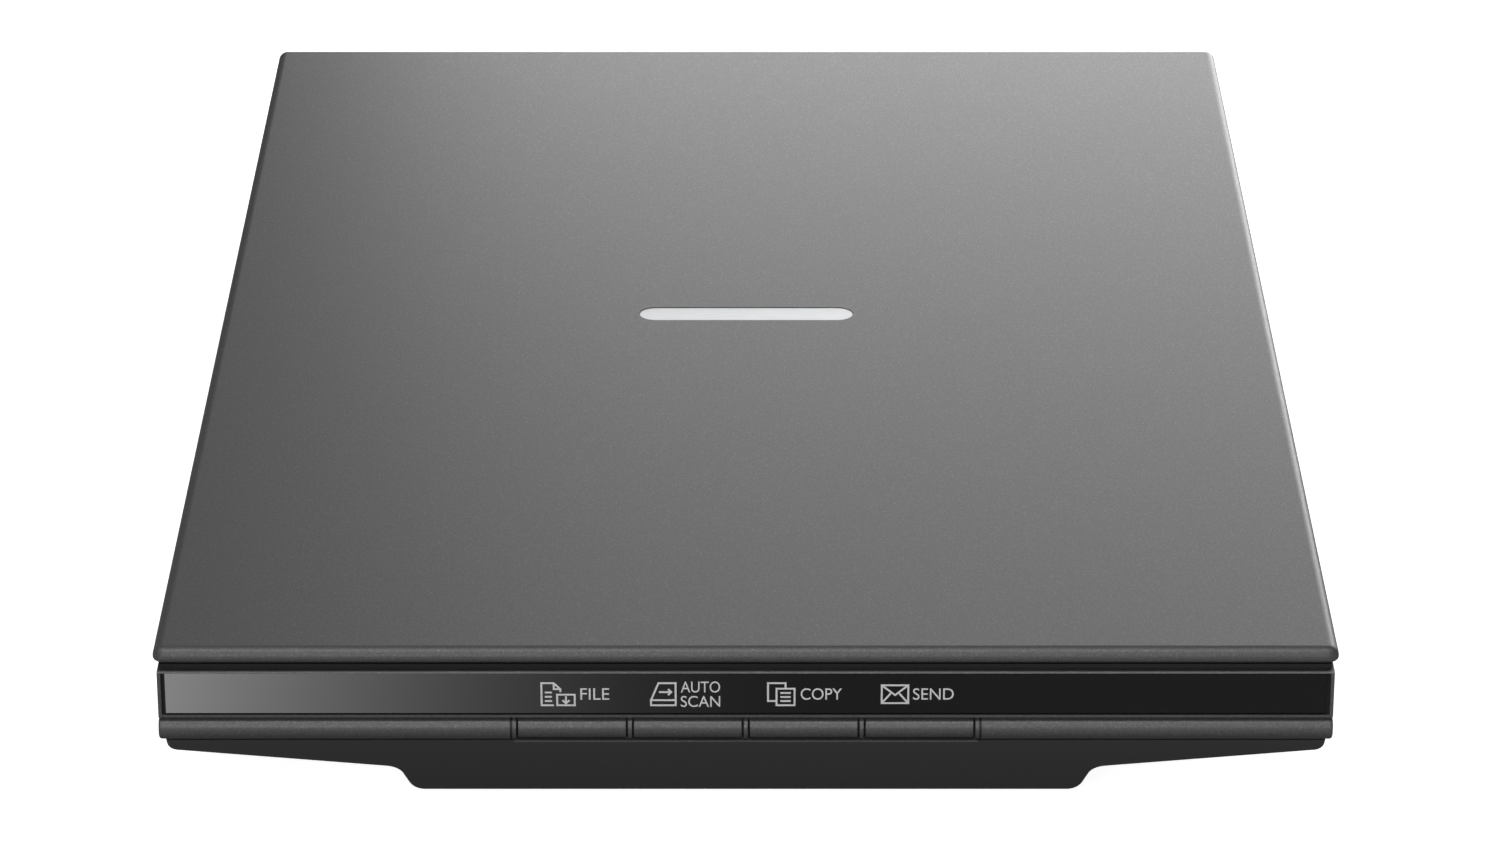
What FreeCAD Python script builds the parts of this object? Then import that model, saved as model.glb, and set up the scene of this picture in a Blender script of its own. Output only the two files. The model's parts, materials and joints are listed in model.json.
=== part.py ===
"""A slim flatbed scanner with a contact image sensor, as an assembly of separate pieces.

The origin is on the table under the middle of the closed scanner. +X is to the right, +Y to the
rear and +Z up, in millimetres. The lid is closed, and the sensor carriage is at its home at the front.
"""
import FreeCAD, Part
import math
import os
import re
import Sketcher
from FreeCAD import Vector

doc = FreeCAD.newDocument("flatbed_scanner")
sheet = doc.addObject("Spreadsheet::Sheet", "dim")
nodes = {}

DIMENSIONS = {
    # whole machine
    "total_height": 42.0,
    "seam": 0.3,
    "wall": 2.0,
    # lid
    "lid_width": 250.0,
    "lid_depth": 367.0,
    "lid_edge": 3.2,
    "lid_nose_radius": 2.2,
    "lid_under_radius": 0.8,
    "lid_corner_radius": 2.4,
    "lid_skin": 1.6,
    "lid_rim": 6.0,
    "lid_rear_rim": 10.0,
    "panel_thickness": 1.0,
    "badge_width": 51.0,
    "badge_depth": 8.0,
    "badge_radius": 3.95,
    "badge_height": 0.6,
    "badge_inset": 0.1,
    "foam_thickness": 1.4,
    "sheet_thickness": 0.4,
    # upper housing
    "body_width": 248.3,
    "body_rear": 180.9,
    "neck_height": 1.95,
    "neck_groove_height": 0.5,
    "neck_groove_deep": 0.8,
    "neck_side_inset": 0.5,
    "neck_front_inset": 1.5,
    "neck_rear_inset": 2.3,
    "frame_plate": 1.2,
    "frame_front": 178.0,
    "split_height": 20.3,
    "window_width": 218.0,
    "window_depth": 299.0,
    "window_middle": 3.5,
    # glass
    "glass_width": 238.0,
    "glass_depth": 320.0,
    "glass_thickness": 2.8,
    "tape_thickness": 0.2,
    "strip_depth": 8.0,
    # front trim, control strip and buttons
    "trim_thickness": 3.0,
    "trim_inset": 0.5,
    "trim_chamfer": 0.3,
    "strip_width": 245.0,
    "strip_end_gap": 0.9,
    "strip_lower_gap": 0.5,
    "strip_upper_gap": 0.05,
    "strip_bottom": 26.9,
    "strip_height": 9.25,
    "strip_set_back": 0.1,
    "recess_depth": 1.0,
    "gasket_thickness": 0.1,
    "gasket_set_back": 0.2,
    "groove_height": 0.5,
    "groove_deep": 1.6,
    "lip_height": 5.2,
    "lip_radius": 2.4,
    "lip_bulge": 0.5,
    "lip_end_radius": 0.6,
    "button_count": 4.0,
    "button_width": 22.7,
    "button_pitch": 24.5,
    "button_gap": 0.5,
    "button_flange": 0.75,
    "button_travel": 0.8,
    "button_bay": 98.2,
    "sill_drop": 0.3,
    "stem_bay": 98.0,
    "switch_size": 6.0,
    "switch_height": 3.3,
    "board_thickness": 1.2,
    "button_board_width": 112.0,
    # lower housing
    "base_top_width": 246.4,
    "base_side_width": 245.8,
    "wing_tip": 16.05,
    "wing_root": 9.9,
    "wing_root_width": 148.7,
    "keel_width": 142.9,
    "foot_height": 2.0,
    "undercut": 11.0,
    "tip_radius": 2.2,
    "root_radius": 4.0,
    "keel_radius": 3.5,
    "keel_front_radius": 1.0,
    "front_notch_height": 0.55,
    "front_notch_depth": 1.2,
    "foot_radius": 6.5,
    "foot_recess": 0.8,
    "foot_spread_x": 110.0,
    "foot_spread_y": 300.0,
    # hinge
    "hinge_spread": 200.0,
    "hinge_y": 178.0,
    "hinge_z": 35.5,
    "eye_radius": 2.2,
    "eye_width": 6.0,
    "ear_width": 3.2,
    "pin_radius": 1.2,
    "pin_clearance": 0.05,
    "post_width": 10.0,
    "post_depth": 2.8,
    "post_bottom": 17.0,
    "post_foot": 2.6,
    "post_flange": 1.6,
    "notch_width": 22.0,
    "notch_floor": 32.0,
    "guide_depth": 4.0,
    # sensor carriage
    "home_y": -151.0,
    "sensor_length": 232.0,
    "sensor_depth": 18.0,
    "sensor_bottom": 20.6,
    "sensor_top": 33.4,
    "sensor_pad": 0.6,
    "cradle_length": 192.0,
    "cradle_floor": 17.0,
    "cradle_wall": 1.2,
    "spring_spread": 120.0,
    "spring_radius": 2.2,
    "spring_wire": 0.3,
    "spring_seat": 14.0,
    "hub_bottom": 13.0,
    # drive
    "shaft_x": -38.0,
    "shaft_z": 10.2,
    "shaft_radius": 3.0,
    "shaft_clearance": 0.05,
    "bush_radius": 4.2,
    "bush_housing_radius": 5.4,
    "shaft_front": 170.0,
    "shaft_rear": 175.0,
    "motor_offset_y": 19.0,
    "motor_x": 18.0,
    "motor_radius": 8.0,
    "motor_height": 13.0,
    "motor_shaft_radius": 1.0,
    "fine_module": 0.5,
    "coarse_module": 0.8,
    "motor_teeth": 12.0,
    "wheel_teeth": 44.0,
    "small_teeth": 14.0,
    "rack_gear_teeth": 24.0,
    "backlash": 0.12,
    "upper_gear_z": 9.7,
    "upper_gear_height": 2.7,
    "lower_gear_z": 5.5,
    "lower_gear_height": 3.9,
    "axle_radius": 1.0,
    "rack_front": 146.0,
    "rack_teeth": 127.0,
    # electronics
    "main_board_width": 36.0,
    "main_board_depth": 18.0,
    "main_board_x": 62.0,
    "main_board_y": 167.0,
    "main_board_z": 22.5,
    "socket_width": 7.7,
    "socket_depth": 9.2,
    "socket_height": 4.0,
    "ribbon_width": 12.0,
    "ribbon_thickness": 0.2,
    # fasteners
    "screw_radius": 1.5,
    "screw_head_radius": 2.75,
    "screw_head_height": 2.0,
    "screw_length": 12.5,
    "boss_radius": 3.4,
    "small_screw_radius": 1.0,
    "small_boss_radius": 2.2,
    "button_board_screw_z": 24.0,
    "screw_spread_x": 176.0,
    "screw_spread_y": 334.0,
    "middle_screw_x": -62.0,
}


def fill_sheet():
    """Write the driving dimensions into the spreadsheet, one named cell each."""
    for row, (alias, value) in enumerate(DIMENSIONS.items(), start=1):
        sheet.set(f"A{row}", alias)
        sheet.set(f"B{row}", str(value))
        sheet.setAlias(f"B{row}", alias)
    doc.recompute()


fill_sheet()
ALIAS = re.compile(r"\b(" + "|".join(DIMENSIONS) + r")\b")

# Levels and planes that several sub-parts share, as expressions of the sheet's cells.
LID_FRONT = "(-lid_depth / 2)"
LID_BOTTOM = "(total_height - lid_edge)"
FRAME_TOP = f"({LID_BOTTOM} - seam)"
NECK_BOTTOM = f"({FRAME_TOP} - neck_height)"
PLATE_BOTTOM = f"({FRAME_TOP} - frame_plate)"
GLASS_TOP = f"({PLATE_BOTTOM} - tape_thickness)"
GLASS_BOTTOM = f"({GLASS_TOP} - glass_thickness)"
PAD_BOTTOM = f"({PLATE_BOTTOM} + seam)"
PANEL_BOTTOM = f"({PAD_BOTTOM} + foam_thickness + sheet_thickness)"
BASE_TOP = "(split_height - seam)"
TRIM_FRONT = f"({LID_FRONT} + trim_inset)"
TRIM_BACK = f"({TRIM_FRONT} + trim_thickness)"
BASE_FRONT = f"({TRIM_FRONT} + 2.1)"
LIP_BOTTOM = "(split_height - 0.1)"
LIP_TOP = f"({LIP_BOTTOM} + lip_height)"
TRAIN_Y = "(home_y + motor_offset_y)"
WHEEL_X = "(motor_x - fine_module * (motor_teeth + wheel_teeth) / 2)"
RACK_GEAR_X = f"({WHEEL_X} - coarse_module * (small_teeth + rack_gear_teeth) / 2)"
RACK_X = f"({RACK_GEAR_X} - coarse_module * rack_gear_teeth / 2)"
STEM_END = "(-frame_front + 1.9)"
BUTTON_BOARD_FRONT = f"({STEM_END} + button_travel + 0.2 + switch_height)"
MIDDLE_SCREW = ("middle_screw_x", "screw_spread_y / 2")


# ------------------------------------------------------------------ helpers


def value(expression):
    """The number that an expression of the sheet's cells comes to."""
    return float(sheet.evalExpression(str(expression)))


def bind(item, **properties):
    """Bind an object's properties to expressions. A double underscore stands for a dot."""
    for name, expression in properties.items():
        formula = ALIAS.sub(r"dim.\1", str(expression))
        item.setExpression(name.replace("__", "."), formula)
    return item


def node(label, item):
    """Name an object as a sub-part, which is then written to a file of that name."""
    item.Label = label
    nodes[label] = item
    return item


def rectangle(left, low, right, high):
    """A closed outline of four corners."""
    return [(left, low), (right, low), (right, high), (left, high)]


def centred(width, depth, middle="0"):
    """A rectangle about the first axis's zero, its middle moved along the second axis."""
    low = f"{middle} - {depth} / 2"
    high = f"{middle} + {depth} / 2"
    return rectangle(f"-{width} / 2", low, f"{width} / 2", high)


def draw_polygon(sketch, points):
    """Draw a closed polygon whose corners are bound to expressions."""
    first = sketch.GeometryCount
    count = len(points)
    places = [Vector(value(u), value(v), 0) for u, v in points]
    for index in range(count):
        sketch.addGeometry(Part.LineSegment(places[index], places[(index + 1) % count]), False)
    for index in range(count):
        here = first + index
        after = first + (index + 1) % count
        sketch.addConstraint(Sketcher.Constraint("Coincident", here, 2, after, 1))
    for index, (u, v) in enumerate(points):
        for kind, formula, size in (("DistanceX", u, places[index].x), ("DistanceY", v, places[index].y)):
            number = sketch.addConstraint(Sketcher.Constraint(kind, -1, 1, first + index, 1, size))
            bind(sketch, **{f"Constraints[{number}]": formula})


def draw_circle(sketch, u, v, radius):
    """Draw a circle whose centre and radius are bound to expressions."""
    circle = Part.Circle(Vector(value(u), value(v), 0), Vector(0, 0, 1), value(radius))
    index = sketch.addGeometry(circle, False)
    for kind, formula in (("DistanceX", u), ("DistanceY", v)):
        number = sketch.addConstraint(Sketcher.Constraint(kind, -1, 1, index, 3, value(formula)))
        bind(sketch, **{f"Constraints[{number}]": formula})
    number = sketch.addConstraint(Sketcher.Constraint("Radius", index, value(radius)))
    bind(sketch, **{f"Constraints[{number}]": radius})


def add_sketch(body, plane, start, loops):
    """Add a sketch on an origin plane of the body, moved along that plane's axis to start."""
    origin_plane = next(item for item in body.Origin.OriginFeatures if item.Role == f"{plane}_Plane")
    sketch = body.newObject("Sketcher::SketchObject", "Sketch")
    sketch.AttachmentSupport = [(origin_plane, "")]
    sketch.MapMode = "FlatFace"
    sense = -1 if plane == "XZ" else 1
    bind(sketch, AttachmentOffset__Base__z=f"{sense} * ({start})")
    for loop in loops:
        if isinstance(loop, tuple):
            draw_circle(sketch, *loop)
        else:
            draw_polygon(sketch, loop)
    return sketch


def new_body(label):
    """Start a sub-part that is made of sketches and features."""
    return node(label, doc.addObject("PartDesign::Body", "Body"))


def pad(body, plane, start, length, *loops):
    """Add the outlines as a prism from start along the plane's positive axis."""
    feature = body.newObject("PartDesign::Pad", "Pad")
    feature.Profile = add_sketch(body, plane, start, loops)
    feature.Reversed = plane == "XZ"
    bind(feature, Length=length)
    body.Tip = feature
    return feature


def pocket(body, plane, start, length, *loops):
    """Cut the outlines away as a prism from start along the plane's positive axis."""
    feature = body.newObject("PartDesign::Pocket", "Pocket")
    feature.Profile = add_sketch(body, plane, start, loops)
    feature.Reversed = plane != "XZ"
    bind(feature, Length=length)
    body.Tip = feature
    return feature


def round_edges(body, radius, wanted):
    """Round the edges of the body's last feature whose bounding box the test accepts."""
    doc.recompute()
    base = body.Tip
    edges = [f"Edge{n}" for n, edge in enumerate(base.Shape.Edges, start=1) if wanted(edge.BoundBox)]
    feature = body.newObject("PartDesign::Fillet", "Fillet")
    feature.Base = (base, edges)
    bind(feature, Radius=radius)
    body.Tip = feature
    return feature


def block(x, y, z, length, width, height):
    """A box from its lowest corner and its sizes, all of them expressions."""
    item = doc.addObject("Part::Box", "Box")
    return bind(
        item, Placement__Base__x=x, Placement__Base__y=y, Placement__Base__z=z,
        Length=length, Width=width, Height=height,
    )


def rod(axis, x, y, z, radius, height):
    """A cylinder from the middle of its first end, along +X, +Y or +Z."""
    item = doc.addObject("Part::Cylinder", "Cylinder")
    item.Placement.Rotation = FreeCAD.Rotation(Vector(0, 0, 1), axis)
    return bind(
        item, Placement__Base__x=x, Placement__Base__y=y, Placement__Base__z=z,
        Radius=radius, Height=height,
    )


ALONG_X = Vector(1, 0, 0)
ALONG_Y = Vector(0, 1, 0)
ALONG_Z = Vector(0, 0, 1)


def fuse(*parts):
    """One solid of several that meet."""
    item = doc.addObject("Part::MultiFuse", "Fuse")
    item.Shapes = list(parts)
    item.Refine = True
    return item


def cut(base, tool):
    """The base without the tool."""
    item = doc.addObject("Part::Cut", "Cut")
    item.Base = base
    item.Tool = tool
    return item


def group(*parts):
    """Separate solids that share one sub-part."""
    item = doc.addObject("Part::Compound", "Group")
    item.Links = list(parts)
    return item


def flat_in(box, axis, place):
    """Whether a bounding box lies in the plane at that place along an axis."""
    low = getattr(box, axis + "Min")
    high = getattr(box, axis + "Max")
    return abs(low - place) < 0.01 and abs(high - place) < 0.01


def runs_along(box, axis):
    """Whether a bounding box is long in one axis only."""
    lengths = {"X": box.XLength, "Y": box.YLength, "Z": box.ZLength}
    return all((length > 0.01) == (name == axis) for name, length in lengths.items())


# ---------------------------------------------------------------------- lid


def make_lid_cover():
    """The lid's outer skin: a flat top with a round nose all round, hollow below."""
    body = new_body("lid_cover")
    pad(body, "XY", LID_BOTTOM, "lid_edge", centred("lid_width", "lid_depth"))
    round_edges(body, "lid_corner_radius", lambda box: runs_along(box, "Z"))
    round_edges(body, "lid_nose_radius", lambda box: flat_in(box, "Z", value("total_height")))
    round_edges(body, "lid_under_radius", lambda box: flat_in(box, "Z", value(LID_BOTTOM)))
    hollow = rectangle(
        "-lid_width / 2 + lid_rim", "-lid_depth / 2 + lid_rim",
        "lid_width / 2 - lid_rim", "lid_depth / 2 - lid_rear_rim",
    )
    pocket(body, "XY", LID_BOTTOM, "lid_edge - lid_skin", hollow)
    pocket(body, "XY", "total_height - badge_height", "badge_height", centred("badge_width", "badge_depth"))
    round_edges(body, "badge_radius", in_badge_corner)
    for side in (-1, 1):
        for end in (-1, 1):
            bumper = (f"{side} * (lid_width / 2 - 4)", f"{end} * (lid_depth / 2 - 12)", "1.6")
            pocket(body, "XY", LID_BOTTOM, "1", bumper)


def make_lid_inner_parts():
    """The inner panel, the foam and the white sheet that press the page down."""
    panel = block(
        "-lid_width / 2 + lid_rim + 0.2", "-lid_depth / 2 + lid_rim + 0.2", PANEL_BOTTOM,
        "lid_width - 2 * lid_rim - 0.4", "lid_depth - lid_rim - lid_rear_rim - 0.4",
        "panel_thickness",
    )
    node("lid_inner_panel", panel)
    low_corner = ("-window_width / 2 + 1", "window_middle - window_depth / 2 + 1")
    pad_size = ("window_width - 2", "window_depth - 2")
    foam = block(*low_corner, f"{PAD_BOTTOM} + sheet_thickness", *pad_size, "foam_thickness")
    node("pad_foam", foam)
    node("pad_sheet", block(*low_corner, PAD_BOTTOM, *pad_size, "sheet_thickness"))


def in_badge_corner(box):
    """Whether an edge is an upright corner of the badge or its recess."""
    return runs_along(box, "Z") and abs(box.XMin) < value("badge_width")


def make_badge():
    """The plain badge with round ends that lies in the lid's recess, just below its surface."""
    body = new_body("lid_badge")
    outline = centred("(badge_width - 2 * badge_inset)", "(badge_depth - 2 * badge_inset)")
    pad(body, "XY", "total_height - badge_height", "badge_height - badge_inset", outline)
    round_edges(body, "badge_radius - badge_inset", in_badge_corner)


def make_lid_bumpers():
    """Four small rubber bumpers in the corners of the lid's rim."""
    bumpers = []
    for side in (-1, 1):
        for end in (-1, 1):
            x = f"{side} * (lid_width / 2 - 4)"
            y = f"{end} * (lid_depth / 2 - 12)"
            bumpers.append(rod(ALONG_Z, x, y, f"{FRAME_TOP} + 0.05", "1.6", "1 + seam - 0.05"))
    node("lid_bumpers", group(*bumpers))


# -------------------------------------------------------------------- hinge


def hinge_bracket(side):
    """A bracket under the lid's rear rim: a plate and two ears around the hinge pin."""
    middle = f"{side} * hinge_spread / 2"
    reach = "(eye_width / 2 + seam + ear_width)"
    parts = [block(
        f"{middle} - {reach}", "hinge_y - 3.8", f"{LID_BOTTOM} - 0.8",
        f"2 * {reach}", "6.6", "0.8",
    )]
    for x in (f"{middle} - {reach}", f"{middle} + eye_width / 2 + seam"):
        parts.append(rod(ALONG_X, x, "hinge_y", "hinge_z", "eye_radius", "ear_width"))
        parts.append(block(
            x, "hinge_y - eye_radius", "hinge_z",
            "ear_width", "2 * eye_radius", f"{LID_BOTTOM} - hinge_z",
        ))
    bore = rod(ALONG_X, f"{middle} - {reach}", "hinge_y", "hinge_z", "pin_radius", f"2 * {reach}")
    return cut(fuse(*parts), bore)


def hinge_post(side):
    """A post that slides up and down in the housing and carries the hinge's eye."""
    middle = f"{side} * hinge_spread / 2"
    front = "(hinge_y - eye_radius)"
    shaft = block(
        f"{middle} - post_width / 2", front, "post_bottom",
        "post_width", "post_depth", "notch_floor - post_bottom",
    )
    foot = block(
        f"{middle} - post_width / 2 - post_flange", front, "post_bottom",
        "post_width + 2 * post_flange", "post_depth", "post_foot",
    )
    neck = block(
        f"{middle} - eye_width / 2", front, "notch_floor",
        "eye_width", "post_depth", "hinge_z - notch_floor",
    )
    eye = rod(ALONG_X, f"{middle} - eye_width / 2", "hinge_y", "hinge_z", "eye_radius", "eye_width")
    bore = rod(
        ALONG_X, f"{middle} - eye_width / 2 - 1", "hinge_y", "hinge_z",
        "pin_radius + pin_clearance", "eye_width + 2",
    )
    return cut(fuse(shaft, foot, neck, eye), bore)


def make_hinge():
    """The hinge's brackets, pins and posts."""
    pins = []
    reach = "(eye_width / 2 + seam + ear_width)"
    for side in (-1, 1):
        middle = f"{side} * hinge_spread / 2"
        pins.append(rod(ALONG_X, f"{middle} - {reach}", "hinge_y", "hinge_z", "pin_radius", f"2 * {reach}"))
    node("lid_hinge_brackets", group(*[hinge_bracket(side) for side in (-1, 1)]))
    node("hinge_pins", group(*pins))
    node("hinge_posts", group(*[hinge_post(side) for side in (-1, 1)]))


# ------------------------------------------------------------ upper housing


def hinge_middles():
    """The places of the two hinges along X."""
    return ["-hinge_spread / 2", "hinge_spread / 2"]


def screw_places():
    """The places of the housing screws, as pairs of expressions."""
    corners = [
        (f"{side} * screw_spread_x / 2", f"{end} * screw_spread_y / 2")
        for side in (-1, 1) for end in (-1, 1)
    ]
    return [*corners, MIDDLE_SCREW]


def button_board_screws():
    """The places of the button board's two screws along X."""
    return ["-button_board_width / 2 + 2.8", "button_board_width / 2 - 2.8"]


def main_board_screws():
    """The places of the main board's two screws, as pairs of expressions."""
    return [
        ("main_board_x - main_board_width / 2 + 10", "main_board_y + main_board_depth / 2 - 2.5"),
        ("main_board_x + main_board_width / 2 - 3.2", "main_board_y - main_board_depth / 2 + 3.0"),
    ]


def make_top_frame():
    """The upper housing: a skirt, a set-back neck with two shadow lines and a plate with a window."""
    body = new_body("top_frame")
    skirt = rectangle("-body_width / 2", "-frame_front", "body_width / 2", "body_rear")
    pad(body, "XY", "split_height", f"{NECK_BOTTOM} - split_height", skirt)
    neck = rectangle(
        "-body_width / 2 + neck_side_inset", f"{LID_FRONT} + neck_front_inset",
        "body_width / 2 - neck_side_inset", "body_rear - neck_rear_inset",
    )
    pad(body, "XY", NECK_BOTTOM, "neck_height", neck)
    neck_front = f"({LID_FRONT} + neck_front_inset)"
    for low in (NECK_BOTTOM, f"{FRAME_TOP} - neck_groove_height"):
        shadow_line = rectangle(
            f"{neck_front} - 1", low,
            f"{neck_front} + neck_groove_deep", f"{low} + neck_groove_height",
        )
        pocket(body, "YZ", "-body_width", "2 * body_width", shadow_line)
    inside = rectangle(
        "-body_width / 2 + wall + neck_side_inset", "-frame_front + wall",
        "body_width / 2 - wall - neck_side_inset", "body_rear - wall - neck_rear_inset",
    )
    pocket(body, "XY", "split_height", f"{PLATE_BOTTOM} - split_height", inside)
    window = centred("window_width", "window_depth", "window_middle")
    pocket(body, "XY", PLATE_BOTTOM, "frame_plate", window)
    for middle in hinge_middles():
        guide = rectangle(
            f"{middle} - notch_width / 2 - 1", "hinge_y - eye_radius - 2.2",
            f"{middle} + notch_width / 2 + 1", "body_rear",
        )
        pad(body, "XY", "notch_floor - guide_depth", f"{NECK_BOTTOM} - notch_floor + guide_depth", guide)
        notch = rectangle(
            f"{middle} - notch_width / 2", "hinge_y - eye_radius - 1.9",
            f"{middle} + notch_width / 2", "body_rear + 1",
        )
        pocket(body, "XY", "notch_floor", f"{FRAME_TOP} - notch_floor + 1", notch)
        slot = rectangle(
            f"{middle} - post_width / 2 - seam", "hinge_y - eye_radius - seam",
            f"{middle} + post_width / 2 + seam", "hinge_y - eye_radius + post_depth + seam",
        )
        pocket(body, "XY", "notch_floor - guide_depth", "guide_depth", slot)
        foot_room = rectangle(
            f"{middle} - post_width / 2 - post_flange - seam", "hinge_y - eye_radius - seam",
            f"{middle} + post_width / 2 + post_flange + seam", "hinge_y - eye_radius + post_depth + seam",
        )
        pocket(body, "XY", "split_height", "notch_floor - guide_depth - split_height", foot_room)
    bosses = [(x, y, "boss_radius - 0.4") for x, y in screw_places()]
    pad(body, "XY", "split_height", f"{PLATE_BOTTOM} - split_height", *bosses)
    pilots = [(x, y, "screw_radius") for x, y in screw_places()]
    pocket(body, "XY", "split_height", "screw_length", *pilots)
    stems = centred("stem_bay", "7.7", "split_height + 3.85 - 0.1")
    pocket(body, "XZ", "-frame_front - 1", "wall + 2", stems)
    board_bosses = [(x, "button_board_screw_z", "small_boss_radius") for x in button_board_screws()]
    boss_length = f"{BUTTON_BOARD_FRONT} + frame_front - wall + 0.5"
    pad(body, "XZ", "-frame_front + wall - 0.5", boss_length, *board_bosses)
    board_pilots = [(x, "button_board_screw_z", "small_screw_radius") for x in button_board_screws()]
    pocket(body, "XZ", f"{BUTTON_BOARD_FRONT} - 4", "5", *board_pilots)
    socket_hole = rectangle(
        "main_board_x - socket_width / 2 - 0.8", "main_board_z + board_thickness - 0.8",
        "main_board_x + socket_width / 2 + 0.8", "main_board_z + board_thickness + socket_height + 0.8",
    )
    pocket(body, "XZ", "body_rear - wall - neck_rear_inset - 1", "wall + neck_rear_inset + 2", socket_hole)


def make_glass():
    """The platen glass, the tape that holds it under the frame and the white reference strip."""
    corner = ("-glass_width / 2", "-glass_depth / 2")
    glass = block(*corner, GLASS_BOTTOM, "glass_width", "glass_depth", "glass_thickness")
    node("platen_glass", glass)
    strip_front = "(window_middle - window_depth / 2 - strip_depth - 0.5)"
    ring = block(*corner, GLASS_TOP, "glass_width", "glass_depth", "tape_thickness")
    hole = block(
        "-window_width / 2 - 1.5", f"{strip_front} - 0.3", f"{GLASS_TOP} - 1",
        "window_width + 3", "window_depth + strip_depth + 2.3", "3",
    )
    node("glass_tape", cut(ring, hole))
    strip = block(
        "-window_width / 2", strip_front, GLASS_TOP,
        "window_width", "strip_depth", "tape_thickness",
    )
    node("calibration_strip", strip)


# ------------------------------------------------- front trim and its buttons


def button_middle(index):
    """The middle of one button along X, counted from the left."""
    return f"(({index} - (button_count - 1) / 2) * button_pitch)"


def make_front_trim():
    """The trim across the front: a bezel for the control strip above a round lip."""
    body = new_body("front_trim")
    half = "body_width / 2"
    lip = rectangle(f"-{half} - 0.1", f"{TRIM_FRONT} - lip_bulge", f"{half} + 0.1", "-frame_front")
    pad(body, "XY", LIP_BOTTOM, "lip_height", lip)
    nose = value(f"{TRIM_FRONT} - lip_bulge")
    round_edges(body, "lip_radius", lambda box: flat_in(box, "Y", nose) and runs_along(box, "X"))
    for end in (-1, 1):
        face = value(f"{end} * ({half} + 0.1)")
        round_edges(body, "lip_end_radius", lambda box: is_lip_end(box, face))
    groove = rectangle(f"-{half} + 0.3", f"{TRIM_FRONT} + groove_deep", f"{half} - 0.3", "-frame_front")
    pad(body, "XY", f"{LIP_TOP} - 1.5", "groove_height + 1.5", groove)
    front = rectangle(f"-{half}", TRIM_FRONT, half, "-frame_front")
    pad(body, "XY", f"{LIP_TOP} + groove_height", f"{NECK_BOTTOM} - {LIP_TOP} - groove_height", front)
    chamfer = [
        (f"{TRIM_FRONT} - 1", f"{NECK_BOTTOM} - 1.5 * trim_chamfer"),
        (TRIM_FRONT, f"{NECK_BOTTOM} - trim_chamfer"),
        (f"{TRIM_FRONT} + trim_chamfer", NECK_BOTTOM),
        (f"{TRIM_FRONT} + trim_chamfer", f"{NECK_BOTTOM} + 1"),
        (f"{TRIM_FRONT} - 1", f"{NECK_BOTTOM} + 1"),
    ]
    pocket(body, "YZ", "-body_width / 2 - 1", "body_width + 2", chamfer)
    recess = rectangle(
        "-strip_width / 2 - strip_end_gap", "strip_bottom - strip_lower_gap",
        "strip_width / 2 + strip_end_gap", "strip_bottom + strip_height + strip_upper_gap",
    )
    pocket(body, "XZ", f"{TRIM_FRONT} - 1", "recess_depth + 1", recess)
    back = rectangle(f"-{half} + wall", TRIM_BACK, f"{half} - wall", "-frame_front + 1")
    bezel_room = f"{NECK_BOTTOM} - {LIP_TOP} - groove_height - 2.4"
    pocket(body, "XY", f"{LIP_TOP} + groove_height + 1", bezel_room, back)
    pocket(body, "XY", f"{LIP_BOTTOM} - 1", "lip_height + 2.2", back)
    openings = [button_opening(index) for index in range(int(value("button_count")))]
    pocket(body, "XZ", f"{TRIM_FRONT} - 2", "trim_thickness + 3", *openings)
    sill = rectangle("-button_bay / 2", f"{TRIM_FRONT} + 0.3", "button_bay / 2", f"{BASE_FRONT} - 0.35")
    pad(body, "XY", f"{LIP_BOTTOM} - sill_drop", "sill_drop + 0.15", sill)


def is_lip_end(box, face):
    """Whether an edge bounds the lip's end face, apart from the one at its back."""
    return flat_in(box, "X", face) and not flat_in(box, "Y", -value("frame_front"))


def button_opening(index):
    """The opening in the trim for one button, seen from the front."""
    middle = button_middle(index)
    return rectangle(
        f"{middle} - button_width / 2 - button_gap", f"{LIP_BOTTOM} - 1",
        f"{middle} + button_width / 2 + button_gap", f"{LIP_TOP} + 0.1",
    )


def make_button(label, index):
    """A push button: a round bar at the front, a flange behind the trim and a stem."""
    body = new_body(label)
    middle = button_middle(index)
    left = f"{middle} - button_width / 2"
    right = f"{middle} + button_width / 2"
    face = rectangle(left, f"{TRIM_FRONT} - lip_bulge", right, f"{TRIM_BACK} + 0.5")
    pad(body, "XY", f"{LIP_BOTTOM} + 0.45", "lip_height - 0.65", face)
    nose = value(f"{TRIM_FRONT} - lip_bulge")
    round_edges(body, "lip_radius - 0.3", lambda box: flat_in(box, "Y", nose) and runs_along(box, "X"))
    flange = rectangle(
        f"{left} - button_flange", f"{TRIM_BACK} + 0.4",
        f"{right} + button_flange", f"{TRIM_BACK} + 1.4",
    )
    pad(body, "XY", f"{LIP_BOTTOM} + 0.1", "lip_height", flange)
    stem = rectangle(f"{middle} - 2", f"{TRIM_BACK} + 1", f"{middle} + 2", STEM_END)
    pad(body, "XY", f"{LIP_BOTTOM} + 0.8", "3.6", stem)


def make_gloss_panel():
    """The glossy strip for the function icons and the black gasket that lines its recess."""
    strip = block(
        "-strip_width / 2", f"{TRIM_FRONT} + strip_set_back", "strip_bottom",
        "strip_width", "recess_depth - strip_set_back - gasket_thickness", "strip_height",
    )
    node("gloss_panel", strip)
    half = "(strip_width / 2 + strip_end_gap)"
    low = "(strip_bottom - strip_lower_gap)"
    lining = block(
        f"-{half}", f"{TRIM_FRONT} + gasket_set_back", low,
        f"2 * {half}", "recess_depth - gasket_set_back",
        "strip_height + strip_lower_gap + strip_upper_gap",
    )
    room = block(
        f"-{half} + gasket_thickness", TRIM_FRONT, f"{low} + gasket_thickness",
        f"2 * ({half} - gasket_thickness)", "recess_depth - gasket_thickness",
        "strip_height + strip_lower_gap + strip_upper_gap",
    )
    node("strip_gasket", cut(lining, room))


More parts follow.
